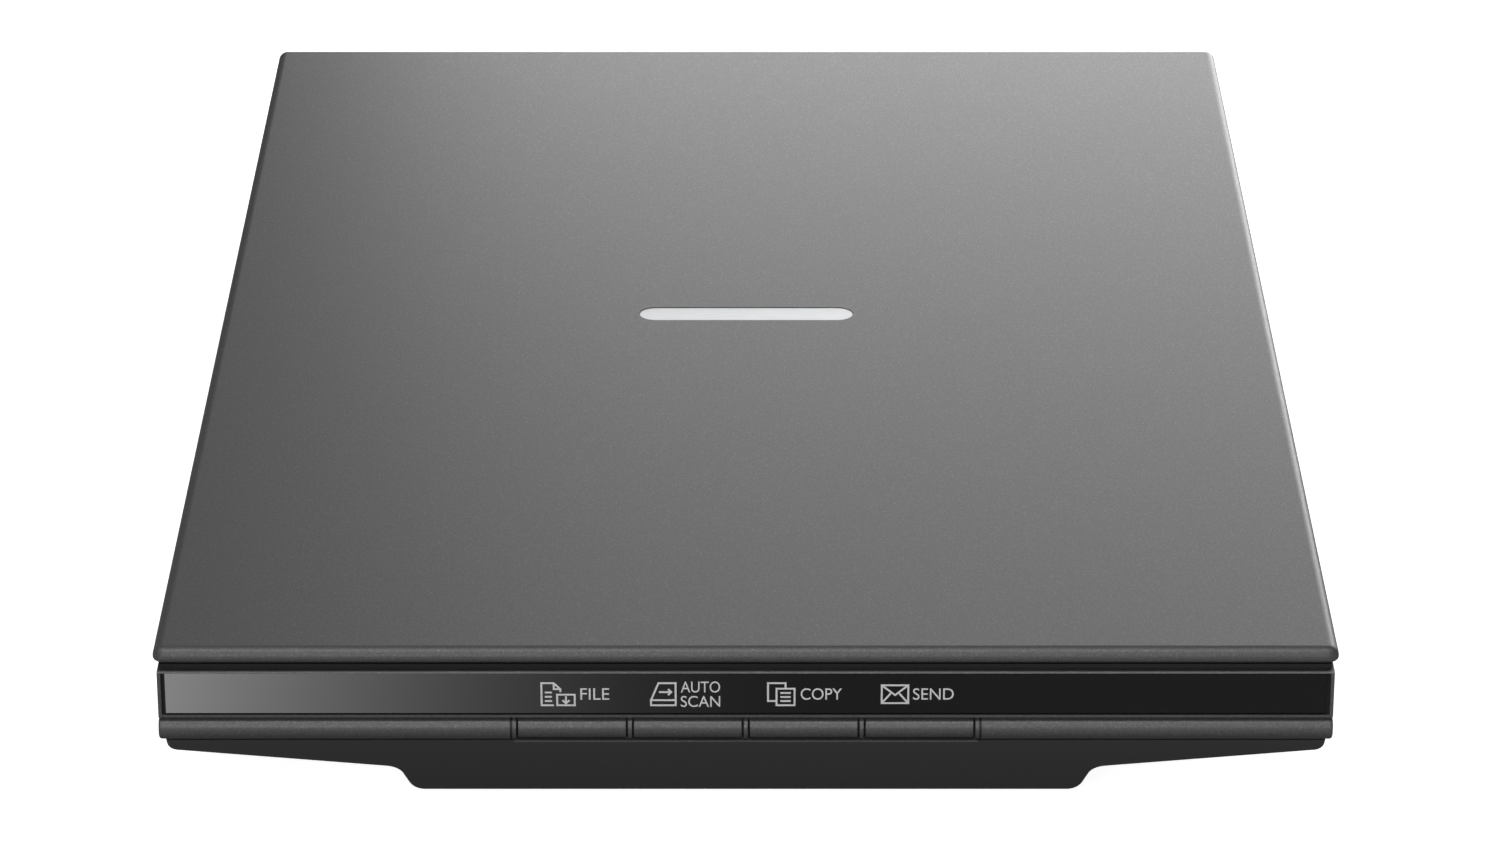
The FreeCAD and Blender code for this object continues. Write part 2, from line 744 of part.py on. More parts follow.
def make_button_board():
    """The button board with its four push switches behind the stems."""
    board = block(
        "-button_board_width / 2", BUTTON_BOARD_FRONT, "split_height - 3",
        "button_board_width", "board_thickness", "11",
    )
    holes = [
        rod(ALONG_Y, x, f"{BUTTON_BOARD_FRONT} - 1", "button_board_screw_z", "small_screw_radius", "4")
        for x in button_board_screws()
    ]
    node("button_board", cut(board, group(*holes)))
    switches = []
    for index in range(int(value("button_count"))):
        middle = button_middle(index)
        housing = block(
            f"{middle} - switch_size / 2", f"{BUTTON_BOARD_FRONT} - switch_height + 0.7",
            "split_height - 0.6",
            "switch_size", "switch_height - 0.7", "switch_size",
        )
        plunger = rod(
            ALONG_Y, middle, f"{BUTTON_BOARD_FRONT} - switch_height", "split_height - 0.6 + switch_size / 2",
            "1.6", "1",
        )
        switches.append(fuse(housing, plunger))
    node("button_switches", group(*switches))


# ------------------------------------------------------------ lower housing


def base_outline(inset):
    """The lower housing's section across the machine, moved inwards by an amount."""
    half = [
        (f"base_top_width / 2 - {inset}", BASE_TOP),
        (f"base_side_width / 2 - {inset}", f"wing_tip + {inset}"),
        (f"wing_root_width / 2 - 0.6 * {inset}", f"wing_root + {inset}"),
        (f"keel_width / 2 - 0.9 * {inset}", f"foot_height + {inset}"),
    ]
    mirrored = [(f"-({u})", v) for u, v in reversed(half)]
    return half + mirrored


def front_slope(inset):
    """The wedge in front of the lower housing's sloping face, moved inwards by an amount."""
    return [
        (f"{BASE_FRONT} - 20", f"{BASE_TOP} + 1"),
        (f"{BASE_FRONT} + {inset}", f"{BASE_TOP} + 1"),
        (f"{BASE_FRONT} + {inset}", f"{BASE_TOP} - 0.4"),
        (f"{BASE_FRONT} + undercut + {inset}", "foot_height"),
        (f"{BASE_FRONT} + undercut + {inset}", "-1"),
        (f"{BASE_FRONT} - 20", "-1"),
    ]


def make_cavity():
    """The space inside the lower housing, as a tool for cutting."""
    body = doc.addObject("PartDesign::Body", "Cavity")
    length = f"body_rear - wall - {BASE_FRONT}"
    pad(body, "XZ", BASE_FRONT, length, base_outline("wall"))
    pocket(body, "YZ", "-base_top_width", "2 * base_top_width", front_slope("wall"))
    lift = rectangle(
        "-base_top_width / 2 + wall", f"{BASE_FRONT} + wall",
        "base_top_width / 2 - wall", "body_rear - wall",
    )
    pad(body, "XY", f"{BASE_TOP} - 0.3", "1", lift)
    return body


def make_base_tray():
    """The lower housing: two shallow wings beside a deep keel, with a face that slopes back.

    A notch along the top of that face leaves a shadow line under the trim.
    """
    body = new_body("base_tray")
    pad(body, "XZ", BASE_FRONT, f"body_rear - {BASE_FRONT}", base_outline("0"))
    pocket(body, "YZ", "-base_top_width", "2 * base_top_width", front_slope("0"))
    notch = rectangle(
        f"{BASE_FRONT} - 1", f"{BASE_TOP} - front_notch_height",
        f"{BASE_FRONT} + front_notch_depth", f"{BASE_TOP} + 1",
    )
    pocket(body, "YZ", "-base_top_width", "2 * base_top_width", notch)
    radii = {"wing_root": "root_radius", "foot_height": "keel_radius", "wing_tip": "tip_radius"}
    for level, radius in radii.items():
        height = value(level)
        round_edges(body, radius, lambda box: runs_along(box, "Y") and flat_in(box, "Z", height))
    floor = value("foot_height")
    front = value(f"{BASE_FRONT} + undercut")
    round_edges(body, "keel_front_radius", lambda box: flat_in(box, "Z", floor) and flat_in(box, "Y", front))
    hollow = body.newObject("PartDesign::Boolean", "Hollow")
    hollow.setObjects([make_cavity()])
    hollow.Type = "Cut"
    body.Tip = hollow
    columns = [(x, y, "boss_radius") for x, y in screw_places()]
    pad(body, "XY", "wing_root + wall + 0.5", f"{BASE_TOP} - wing_root - wall - 0.5", *columns)
    middle_column = (*MIDDLE_SCREW, "boss_radius")
    pad(body, "XY", "foot_height + 1", "wing_root", middle_column)
    board_columns = [(x, y, "small_boss_radius") for x, y in main_board_screws()]
    pad(body, "XY", "wing_root + wall - 0.5", "main_board_z - wing_root - wall + 0.5", *board_columns)
    keel_column = (*main_board_screws()[0], "small_boss_radius")
    pad(body, "XY", "foot_height + 1", "wing_root + 2", keel_column)
    board_pilots = [(x, y, "small_screw_radius") for x, y in main_board_screws()]
    pocket(body, "XY", "main_board_z - 6", "7", *board_pilots)
    counterbores = [(x, y, "screw_head_radius + 0.15") for x, y in screw_places()]
    pocket(body, "XY", "0", "split_height - 3", *counterbores)
    through = [(x, y, "screw_radius + 0.2") for x, y in screw_places()]
    pocket(body, "XY", "1", "split_height", *through)
    for low, high in (("-shaft_front - 0.5", "-shaft_front + 6"), ("shaft_rear - 6", "shaft_rear + 1")):
        holder = rectangle("shaft_x - 5", low, "shaft_x + 5", high)
        pad(body, "XY", "foot_height + 1", "shaft_z + shaft_radius + 2 - foot_height - 1", holder)
    pocket(body, "XZ", "-shaft_front", "shaft_front + shaft_rear", ("shaft_x", "shaft_z", "shaft_radius"))
    recesses = [(x, y, "foot_radius") for x, y in foot_places()]
    pocket(body, "XY", "0", "foot_height + foot_recess", *recesses)


def foot_places():
    """The places of the four rubber feet, as pairs of expressions."""
    return [
        (f"{side} * foot_spread_x / 2", f"{end} * foot_spread_y / 2")
        for side in (-1, 1) for end in (-1, 1)
    ]


def make_feet():
    """Four round rubber feet, set in shallow recesses under the keel."""
    feet = [rod(ALONG_Z, x, y, "0", "foot_radius", "foot_height + foot_recess") for x, y in foot_places()]
    node("rubber_feet", group(*feet))


def make_housing_screws():
    """The screws that go up through the lower housing into the upper one."""
    screws = []
    for x, y in screw_places():
        head_bottom = "split_height - 3 - screw_head_height"
        head = rod(ALONG_Z, x, y, head_bottom, "screw_head_radius", "screw_head_height")
        shank = rod(ALONG_Z, x, y, "split_height - 3", "screw_radius", "screw_length")
        screws.append(fuse(head, shank))
    node("housing_screws", group(*screws))


# ---------------------------------------------------------- sensor carriage


def make_carriage():
    """The carriage: a cradle under the sensor, a hub on the guide shaft and a gear plate."""
    body = new_body("carriage")
    depth = "(sensor_depth + 0.6 + 2 * cradle_wall)"
    cradle = centred("cradle_length", depth, "home_y")
    pad(body, "XY", "cradle_floor", "sensor_bottom + 3 - cradle_floor", cradle)
    trough = centred("cradle_length + 2", "sensor_depth + 0.6", "home_y")
    pocket(body, "XY", "cradle_floor + wall", "10", trough)
    hub = rectangle("shaft_x - 8", "home_y - 9", "motor_x + 8", "home_y + 9")
    pad(body, "XY", "hub_bottom", "cradle_floor - hub_bottom + 0.5", hub)
    plate = rectangle(f"{RACK_GEAR_X} - 9", "home_y + 8", "motor_x + 12", "home_y + motor_offset_y + 8")
    pad(body, "XY", "hub_bottom", "2", plate)
    web = rectangle(
        "shaft_x - bush_housing_radius", "shaft_z",
        "shaft_x + bush_housing_radius", "hub_bottom + 1",
    )
    pad(body, "XZ", "home_y - 9", "18", web)
    pad(body, "XZ", "home_y - 9", "18", ("shaft_x", "shaft_z", "bush_housing_radius"))
    pocket(body, "XZ", "home_y - 10", "20", ("shaft_x", "shaft_z", "bush_radius"))
    cups = [(f"{side} * spring_spread / 2", "home_y", "spring_radius + 1.6") for side in (-1, 1)]
    pad(body, "XY", "spring_seat - 1.2", "cradle_floor - spring_seat + 2", *cups)
    wells = [(f"{side} * spring_spread / 2", "home_y", "spring_radius + 0.6") for side in (-1, 1)]
    pocket(body, "XY", "spring_seat", "10", *wells)
    holes = [
        (WHEEL_X, TRAIN_Y, "axle_radius"),
        (RACK_GEAR_X, TRAIN_Y, "axle_radius"),
        ("motor_x", TRAIN_Y, "motor_shaft_radius + 1"),
        ("motor_x - motor_radius - 1.75", TRAIN_Y, "small_screw_radius"),
        ("motor_x + motor_radius + 1.75", TRAIN_Y, "small_screw_radius"),
    ]
    pocket(body, "XY", "hub_bottom - 1", "4", *holes)


def make_bush():
    """The plain bush that runs on the guide shaft."""
    shell = rod(ALONG_Y, "shaft_x", "home_y - 9", "shaft_z", "bush_radius", "18")
    bore = rod(ALONG_Y, "shaft_x", "home_y - 10", "shaft_z", "shaft_radius + shaft_clearance", "20")
    node("shaft_bush", cut(shell, bore))


def make_guide_shaft():
    """The polished steel shaft that the carriage slides on."""
    shaft = rod(ALONG_Y, "shaft_x", "-shaft_front", "shaft_z", "shaft_radius", "shaft_front + shaft_rear")
    node("guide_shaft", shaft)


def coil_spring(x, y, bottom, height, radius, wire):
    """A round-wire compression spring that stands on end."""
    turns = 5
    helix = Part.makeHelix((height - 2 * wire) / turns, height - 2 * wire, radius)
    section = Part.Wire(Part.makeCircle(wire, Vector(radius, 0, 0), Vector(0, 1, 0)))
    spring = Part.Wire(helix.Edges).makePipeShell([section], True, True)
    spring.translate(Vector(x, y, bottom + wire))
    return spring


def make_sensor_springs():
    """The two springs that press the sensor up towards the glass."""
    height = value("sensor_bottom - spring_seat")
    springs = []
    for side in (-1, 1):
        springs.append(coil_spring(
            side * value("spring_spread / 2"), value("home_y"), value("spring_seat"),
            height, value("spring_radius"), value("spring_wire"),
        ))
    item = doc.addObject("Part::Feature", "Springs")
    item.Shape = Part.makeCompound(springs)
    item.Placement = FreeCAD.Placement()
    node("sensor_springs", item)


def make_sensor():
    """The contact image sensor: housing, lens rod, light guide, board, cover glass and pads."""
    body = new_body("sensor_housing")
    height = "(sensor_top - sensor_bottom)"
    pad(body, "XY", "sensor_bottom", height, centred("sensor_length", "sensor_depth", "home_y"))
    pocket(body, "XY", "sensor_top - 1.3", "2", centred("sensor_length - 8", "13", "home_y"))
    pocket(body, "XY", "sensor_bottom + 4", "10", centred("sensor_length - 14", "3.4", "home_y + 2"))
    pocket(body, "XY", "sensor_bottom + 5", "10", centred("sensor_length - 14", "4.4", "home_y - 3"))
    pocket(body, "XY", "sensor_bottom - 1", "2.6", centred("sensor_length - 8", "14", "home_y"))
    cover = block(
        "-sensor_length / 2 + 4.1", "home_y - 6.4", "sensor_top - 1.3",
        "sensor_length - 8.2", "12.8", "1.2",
    )
    node("sensor_cover_glass", cover)
    lens = block(
        "-sensor_length / 2 + 8", "home_y + 0.5", "sensor_bottom + 4.2",
        "sensor_length - 16", "3", "6.5",
    )
    node("sensor_lens_rod", lens)
    guide = rod(
        ALONG_X, "-sensor_length / 2 + 8", "home_y - 3", "sensor_bottom + 8",
        "2", "sensor_length - 16",
    )
    node("sensor_light_guide", guide)
    board = block(
        "-sensor_length / 2 + 4.2", "home_y - 6.8", "sensor_bottom + 0.2",
        "sensor_length - 8.4", "13.6", "1.2",
    )
    node("sensor_board", board)
    pads = []
    for side in (-1, 1):
        pads.append(block(
            f"{side} * (sensor_length / 2 - 2) - 1.6", "home_y - 7", "sensor_top",
            "3.2", "14", "sensor_pad",
        ))
    node("sensor_glide_pads", group(*pads))


# -------------------------------------------------------------------- drive


def gear_profile(module, teeth, first_tooth):
    """The outline of an involute gear, with a tooth centred at the angle first_tooth in radians."""
    pitch_radius = module * teeth / 2
    base_radius = pitch_radius * math.cos(math.radians(20))
    tip_radius = pitch_radius + 0.75 * module
    root_radius = pitch_radius - 1.1 * module
    half_tooth = math.pi / (2 * teeth) - value("backlash") / (2 * pitch_radius)
    start_radius = max(base_radius, root_radius)

    def involute(radius):
        pressure = math.acos(min(1.0, base_radius / radius))
        return math.tan(pressure) - pressure

    def place(radius, angle):
        return Vector(radius * math.cos(angle), radius * math.sin(angle), 0)

    steps = [start_radius + (tip_radius - start_radius) * k / 4 for k in range(5)]
    offsets = [half_tooth + involute(pitch_radius) - involute(radius) for radius in steps]
    edges = []
    for tooth in range(teeth):
        middle = first_tooth + 2 * math.pi * tooth / teeth
        rising = [place(radius, middle - offset) for radius, offset in zip(steps, offsets)]
        falling = [place(radius, middle + offset) for radius, offset in zip(steps, offsets)]
        falling.reverse()
        root_before = place(root_radius, middle - offsets[0])
        root_after = place(root_radius, middle + offsets[0])
        next_root = place(root_radius, middle + 2 * math.pi / teeth - offsets[0])
        gap_middle = place(root_radius, middle + math.pi / teeth)
        if start_radius > root_radius:
            edges.append(Part.LineSegment(root_before, rising[0]).toShape())
        edges.append(flank(rising))
        edges.append(Part.Arc(rising[-1], place(tip_radius, middle), falling[0]).toShape())
        edges.append(flank(falling))
        if start_radius > root_radius:
            edges.append(Part.LineSegment(falling[-1], root_after).toShape())
        edges.append(Part.Arc(root_after, gap_middle, next_root).toShape())
    return Part.Wire(edges)


def flank(points):
    """A smooth edge through the points of one tooth flank."""
    curve = Part.BSplineCurve()
    curve.interpolate(points)
    return curve.toShape()


def gear_solid(module, teeth, first_tooth, bottom, height):
    """A spur gear about its own axis."""
    solid = Part.Face(gear_profile(module, teeth, first_tooth)).extrude(Vector(0, 0, height))
    solid.translate(Vector(0, 0, bottom))
    return solid


def place_gear(label, shape, x):
    """Put a gear on the carriage's train line as a sub-part."""
    item = doc.addObject("Part::Feature", "Gear")
    item.Shape = shape
    item.Placement = FreeCAD.Placement(Vector(value(x), value(TRAIN_Y), 0), FreeCAD.Rotation())
    node(label, item)


def make_gears():
    """The motor's pinion, the double gear and the gear that walks along the rack."""
    upper = (value("upper_gear_z"), value("upper_gear_height"))
    lower = (value("lower_gear_z"), value("lower_gear_height"))
    fine = value("fine_module")
    coarse = value("coarse_module")
    wheel_teeth = int(value("wheel_teeth"))
    small_teeth = int(value("small_teeth"))
    walker_teeth = int(value("rack_gear_teeth"))
    pinion = gear_solid(fine, int(value("motor_teeth")), math.pi, *upper)
    shaft_length = value("hub_bottom + 3") - upper[0]
    shaft = Part.makeCylinder(value("motor_shaft_radius"), shaft_length, Vector(0, 0, upper[0]))
    place_gear("motor_pinion", pinion.fuse(shaft).removeSplitter(), "motor_x")
    axle_hole = Part.makeCylinder(value("axle_radius + pin_clearance"), 20)
    wheel = gear_solid(fine, wheel_teeth, math.pi / wheel_teeth, *upper)
    small = gear_solid(coarse, small_teeth, math.pi, lower[0], upper[0] - lower[0])
    place_gear("double_gear", wheel.fuse(small).cut(axle_hole).removeSplitter(), WHEEL_X)
    walker = gear_solid(coarse, walker_teeth, math.pi / walker_teeth, *lower)
    place_gear("rack_gear", walker.cut(axle_hole), RACK_GEAR_X)


def make_rack():
    """The toothed rack fixed along the keel floor. One tooth faces the gear's middle at home."""
    module = value("coarse_module")
    pitch = math.pi * module
    half_tooth = pitch / 4 - value("backlash") / 2
    slope = math.tan(math.radians(20))
    tip = 0.75 * module
    root = 1.1 * module
    first = -round((value(TRAIN_Y) + value("rack_front")) / pitch)
    points = [Vector(-root - 4, (first - 0.5) * pitch, 0), Vector(-root, (first - 0.5) * pitch, 0)]
    for tooth in range(first, first + int(value("rack_teeth"))):
        middle = tooth * pitch
        points.append(Vector(-root, middle - half_tooth - root * slope, 0))
        points.append(Vector(tip, middle - half_tooth + tip * slope, 0))
        points.append(Vector(tip, middle + half_tooth - tip * slope, 0))
        points.append(Vector(-root, middle + half_tooth + root * slope, 0))
    last = points[-1].y + 0.3
    points += [Vector(-root, last, 0), Vector(-root - 4, last, 0), points[0]]
    height = value("lower_gear_z + lower_gear_height - foot_height - wall")
    item = doc.addObject("Part::Feature", "Rack")
    item.Shape = Part.Face(Part.makePolygon(points)).extrude(Vector(0, 0, height))
    item.Placement = FreeCAD.Placement(
        Vector(value(RACK_X), value(TRAIN_Y), value("foot_height + wall")), FreeCAD.Rotation(),
    )
    node("drive_rack", item)


def make_motor():
    """The stepper motor on the gear plate, with its flange, and the two gear axles."""
    can = rod(ALONG_Z, "motor_x", TRAIN_Y, "hub_bottom + 2.8", "motor_radius", "motor_height")
    flange = block(
        "motor_x - motor_radius - 3.6", f"{TRAIN_Y} - 3", "hub_bottom + 2",
        "2 * motor_radius + 7.2", "6", "0.8",
    )
    rooms = [rod(ALONG_Z, "motor_x", TRAIN_Y, "hub_bottom", "motor_shaft_radius + 0.4", "3.6")]
    for side in (-1, 1):
        x = f"motor_x + {side} * (motor_radius + 1.75)"
        rooms.append(rod(ALONG_Z, x, TRAIN_Y, "hub_bottom", "small_screw_radius", "2.8"))
    node("drive_motor", cut(fuse(can, flange), group(*rooms)))
    axles = []
    for x in (WHEEL_X, RACK_GEAR_X):
        length = "hub_bottom + 2 - lower_gear_z + 0.6"
        pin = rod(ALONG_Z, x, TRAIN_Y, "lower_gear_z - 0.6", "axle_radius", length)
        head = rod(ALONG_Z, x, TRAIN_Y, "lower_gear_z - 0.7", "axle_radius + 0.9", "0.5")
        axles.append(fuse(pin, head))
    node("gear_axles", group(*axles))


# -------------------------------------------------------------- electronics


def make_main_board():
    """The main board at the rear with its chips, and the cable socket in the rear wall."""
    left = "(main_board_x - main_board_width / 2)"
    front = "(main_board_y - main_board_depth / 2)"
    top = "(main_board_z + board_thickness)"
    board = block(left, front, "main_board_z", "main_board_width", "main_board_depth", "board_thickness")
    holes = [
        rod(ALONG_Z, x, y, "main_board_z - 1", "small_screw_radius", "4") for x, y in main_board_screws()
    ]
    node("main_board", cut(board, group(*holes)))
    chips = [
        block(f"{left} + 3", f"{front} + 3", top, "7", "7", "1"),
        block(f"{left} + 23", f"{front} + 2", top, "5", "4", "1"),
        block(f"{left} + 26", f"{front} + 9", top, "3", "2", "0.8"),
    ]
    node("board_chips", group(*chips))
    rear = "(body_rear - 1.2)"
    shell = block(
        "main_board_x - socket_width / 2", f"{rear} - socket_depth", top,
        "socket_width", "socket_depth", "socket_height",
    )
    mouth = block(
        "main_board_x - socket_width / 2 + 0.4", f"{rear} - socket_depth + 1.5", f"{top} + 0.4",
        "socket_width - 0.8", "socket_depth", "socket_height - 0.8",
    )
    node("cable_socket", cut(shell, mouth))


def small_screw(axis, x, y, z, grip):
    """A small screw along an axis: its head starts at x, y, z and its shank ends there."""
    head = rod(axis, x, y, z, "small_screw_radius + 0.7", "0.9")
    if axis == ALONG_Y:
        shank = rod(axis, x, f"{y} - {grip}", z, "small_screw_radius", grip)
    else:
        shank = rod(axis, x, y, f"{z} - {grip}", "small_screw_radius", grip)
    return fuse(head, shank)


def make_small_screws():
    """The screws of the two boards and of the motor."""
    behind_board = f"{BUTTON_BOARD_FRONT} + board_thickness"
    screws = []
    for x in button_board_screws():
        screws.append(small_screw(ALONG_Y, x, behind_board, "button_board_screw_z", "5"))
    for x, y in main_board_screws():
        screws.append(small_screw(ALONG_Z, x, y, "main_board_z + board_thickness", "6"))
    node("board_screws", group(*screws))
    motor_screws = []
    for side in (-1, 1):
        x = f"motor_x + {side} * (motor_radius + 1.75)"
        motor_screws.append(small_screw(ALONG_Z, x, TRAIN_Y, "hub_bottom + 2.8", "2.8"))
    node("motor_screws", group(*motor_screws))


def make_ribbon():
    """The flat ribbon: down from the carriage, back along the keel floor and up to the main board."""
    low = value("foot_height + wall") + 0.5
    bend = 3.0
    front = value("home_y") + 11.2
    rear = value("main_board_y - main_board_depth / 2") - 0.6
    crest = value("cradle_floor") + 2
    top = value("main_board_z + board_thickness")
    path = Part.Wire([
        Part.LineSegment(Vector(0, front, crest), Vector(0, front, low + bend)).toShape(),
        quarter_turn(Vector(0, front + bend, low + bend), bend, 180),
        Part.LineSegment(Vector(0, front + bend, low), Vector(0, rear - bend, low)).toShape(),
        quarter_turn(Vector(0, rear - bend, low + bend), bend, 270),
        Part.LineSegment(Vector(0, rear, low + bend), Vector(0, rear, top)).toShape(),
    ])
    width = value("ribbon_width")
    half = value("ribbon_thickness") / 2
    start = Vector(0, front, crest)
    corners = [Vector(0, -half, 0), Vector(width, -half, 0), Vector(width, half, 0), Vector(0, half, 0)]
    section = Part.makePolygon([start + corner for corner in corners + corners[:1]])
    item = doc.addObject("Part::Feature", "Ribbon")
    item.Shape = path.makePipeShell([section], True, False)
    item.Placement = FreeCAD.Placement(Vector(value("main_board_x") - 16, 0, 0), FreeCAD.Rotation())
    node("ribbon_cable", item)


def quarter_turn(centre, radius, first_angle):
    """A quarter circle in the plane across X, from first_angle on, in degrees from +Y towards +Z."""
    points = []
    for angle in (first_angle, first_angle + 45, first_angle + 90):
        turned = math.radians(angle)
        points.append(centre + Vector(0, radius * math.cos(turned), radius * math.sin(turned)))
    return Part.Arc(*points).toShape()


# -------------------------------------------------------------------- build


def check_and_export():
    """Recompute, refuse a failed or empty shape, and write each sub-part to its file."""
    doc.recompute()
    for item in doc.Objects:
        if "Invalid" in item.State or "Error" in item.State:
            raise RuntimeError(f"{item.Name} ({item.Label}) failed: {item.State}")
        if item.TypeId == "PartDesign::Pocket":
            before = item.BaseFeature.Shape.Volume
            if before - item.Shape.Volume < 0.01:
                raise RuntimeError(f"{item.Name} cuts nothing")
    os.makedirs("parts", exist_ok=True)
    for label, item in nodes.items():
        if item.Shape.isNull() or not item.Shape.isValid():
            raise RuntimeError(f"{label} has no valid shape")
        item.Shape.exportStep(f"parts/{label}.step")


def main():
    """Build every sub-part and write its file."""
    make_lid_cover()
    make_badge()
    make_lid_inner_parts()
    make_lid_bumpers()
    make_hinge()
    make_top_frame()
    make_glass()
    make_front_trim()
    make_gloss_panel()
    for index, label in enumerate(("button_file", "button_scan", "button_copy", "button_send")):
        make_button(label, index)
    make_button_board()
    make_base_tray()
    make_feet()
    make_housing_screws()
    make_carriage()
    make_bush()
    make_guide_shaft()
    make_sensor_springs()
    make_sensor()
    make_gears()
    make_rack()
    make_motor()
    make_main_board()
    make_small_screws()
    make_ribbon()
    check_and_export()


main()
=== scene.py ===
"""The looks of a slim flatbed scanner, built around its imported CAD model.

Lengths are in metres, except where a comment or docstring says millimetres.
"""
import json
import math

import bmesh
import bpy
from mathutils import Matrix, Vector


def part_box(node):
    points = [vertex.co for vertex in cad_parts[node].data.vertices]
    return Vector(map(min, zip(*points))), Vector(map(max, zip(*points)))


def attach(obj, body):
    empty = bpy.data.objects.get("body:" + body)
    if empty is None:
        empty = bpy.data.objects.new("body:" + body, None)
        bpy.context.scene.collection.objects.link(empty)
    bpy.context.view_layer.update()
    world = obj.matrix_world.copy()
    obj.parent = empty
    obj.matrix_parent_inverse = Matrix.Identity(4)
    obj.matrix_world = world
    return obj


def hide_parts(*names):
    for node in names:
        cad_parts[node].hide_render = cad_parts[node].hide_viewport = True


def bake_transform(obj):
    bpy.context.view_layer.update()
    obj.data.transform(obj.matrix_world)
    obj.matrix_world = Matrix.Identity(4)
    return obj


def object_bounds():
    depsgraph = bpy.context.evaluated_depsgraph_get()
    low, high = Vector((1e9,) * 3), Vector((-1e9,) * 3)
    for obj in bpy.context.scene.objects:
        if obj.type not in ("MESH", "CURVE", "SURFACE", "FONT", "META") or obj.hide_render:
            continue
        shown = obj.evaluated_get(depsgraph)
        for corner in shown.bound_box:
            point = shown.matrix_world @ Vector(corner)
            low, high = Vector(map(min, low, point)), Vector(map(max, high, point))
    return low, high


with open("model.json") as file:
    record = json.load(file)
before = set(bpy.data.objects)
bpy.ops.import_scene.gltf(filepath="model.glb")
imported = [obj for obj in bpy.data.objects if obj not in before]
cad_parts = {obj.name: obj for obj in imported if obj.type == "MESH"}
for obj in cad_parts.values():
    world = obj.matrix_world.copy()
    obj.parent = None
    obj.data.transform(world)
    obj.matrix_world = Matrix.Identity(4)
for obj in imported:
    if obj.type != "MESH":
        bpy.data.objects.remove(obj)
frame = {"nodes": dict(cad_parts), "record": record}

CAD_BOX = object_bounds()
MM = 0.001


def box_corners(node):
    """The low and the high corner of a CAD node's box."""
    return [Vector(corner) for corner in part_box(node)]


LID_LOW, LID_HIGH = box_corners("lid_cover")
PANEL_LOW, PANEL_HIGH = box_corners("gloss_panel")
FRAME_TOP = box_corners("top_frame")[1].z
FLOOR_Z = CAD_BOX[0][2]


# ---------------------------------------------------------------- shader help


def new_material(name):
    """A node material, with its node tree and its principled shader."""
    material = bpy.data.materials.new(name)
    material.use_nodes = True
    tree = material.node_tree
    shader = tree.nodes["Principled BSDF"]
    return material, tree, shader


def add(tree, kind, **values):
    """Add a node and set its properties, and its sockets where the name is a socket's."""
    item = tree.nodes.new(kind)
    for name, value in values.items():
        if hasattr(item, name):
            setattr(item, name, value)
        else:
            item.inputs[name.replace("_", " ")].default_value = value
    return item


def place(tree, stretch=(1, 1, 1)):
    """Object coordinates in metres, stretched, so that a pattern has its real scale."""
    coordinates = add(tree, "ShaderNodeTexCoord")
    mapping = add(tree, "ShaderNodeMapping")
    mapping.inputs["Scale"].default_value = stretch
    tree.links.new(coordinates.outputs["Object"], mapping.inputs["Vector"])
    return mapping.outputs["Vector"]


def noise(tree, vector, size, detail=2.0, roughness=0.5):
    """A noise whose blotches are about size metres across."""
    texture = add(tree, "ShaderNodeTexNoise", Scale=1.0 / size, Detail=detail, Roughness=roughness)
    tree.links.new(vector, texture.inputs["Vector"])
    return texture.outputs["Fac"]


def cells(tree, vector, size):
    """A cell pattern whose cells are about size metres across."""
    texture = add(tree, "ShaderNodeTexVoronoi", Scale=1.0 / size)
    tree.links.new(vector, texture.inputs["Vector"])
    return texture


def spread(tree, factor, low, high, start=0.3, end=0.7):
    """Map a 0 to 1 factor to a number between low and high."""
    ranged = add(tree, "ShaderNodeMapRange")
    ranged.inputs["From Min"].default_value = start
    ranged.inputs["From Max"].default_value = end
    ranged.inputs["To Min"].default_value = low
    ranged.inputs["To Max"].default_value = high
    tree.links.new(factor, ranged.inputs["Value"])
    return ranged.outputs["Result"]


def blend_colours(tree, factor, first, second):
    """Mix two colours by a factor. Each colour is a triple or a socket."""
    mix = add(tree, "ShaderNodeMix", data_type="RGBA")
    tree.links.new(factor, mix.inputs["Factor"])
    for socket, colour in ((mix.inputs[6], first), (mix.inputs[7], second)):
        if isinstance(colour, tuple):
            socket.default_value = (*colour, 1.0)
        else:
            tree.links.new(colour, socket)
    return mix.outputs[2]


def scaled(colour, share):
    """A colour made lighter or darker."""
    return tuple(min(1.0, channel * share) for channel in colour)


def add_bump(tree, shader, height, strength, distance):
    """Let a height factor shape the surface, by distance metres."""
    bump = add(tree, "ShaderNodeBump", Strength=strength, Distance=distance)
    previous = shader.inputs["Normal"].links
    if previous:
        tree.links.new(previous[0].from_socket, bump.inputs["Normal"])
    tree.links.new(height, bump.inputs["Height"])
    tree.links.new(bump.outputs["Normal"], shader.inputs["Normal"])


def set_shader(shader, **values):
    """Set constant values on the shader's own sockets."""
    for name, value in values.items():
        shader.inputs[name.replace("_", " ")].default_value = value


# ------------------------------------------------------------------ materials


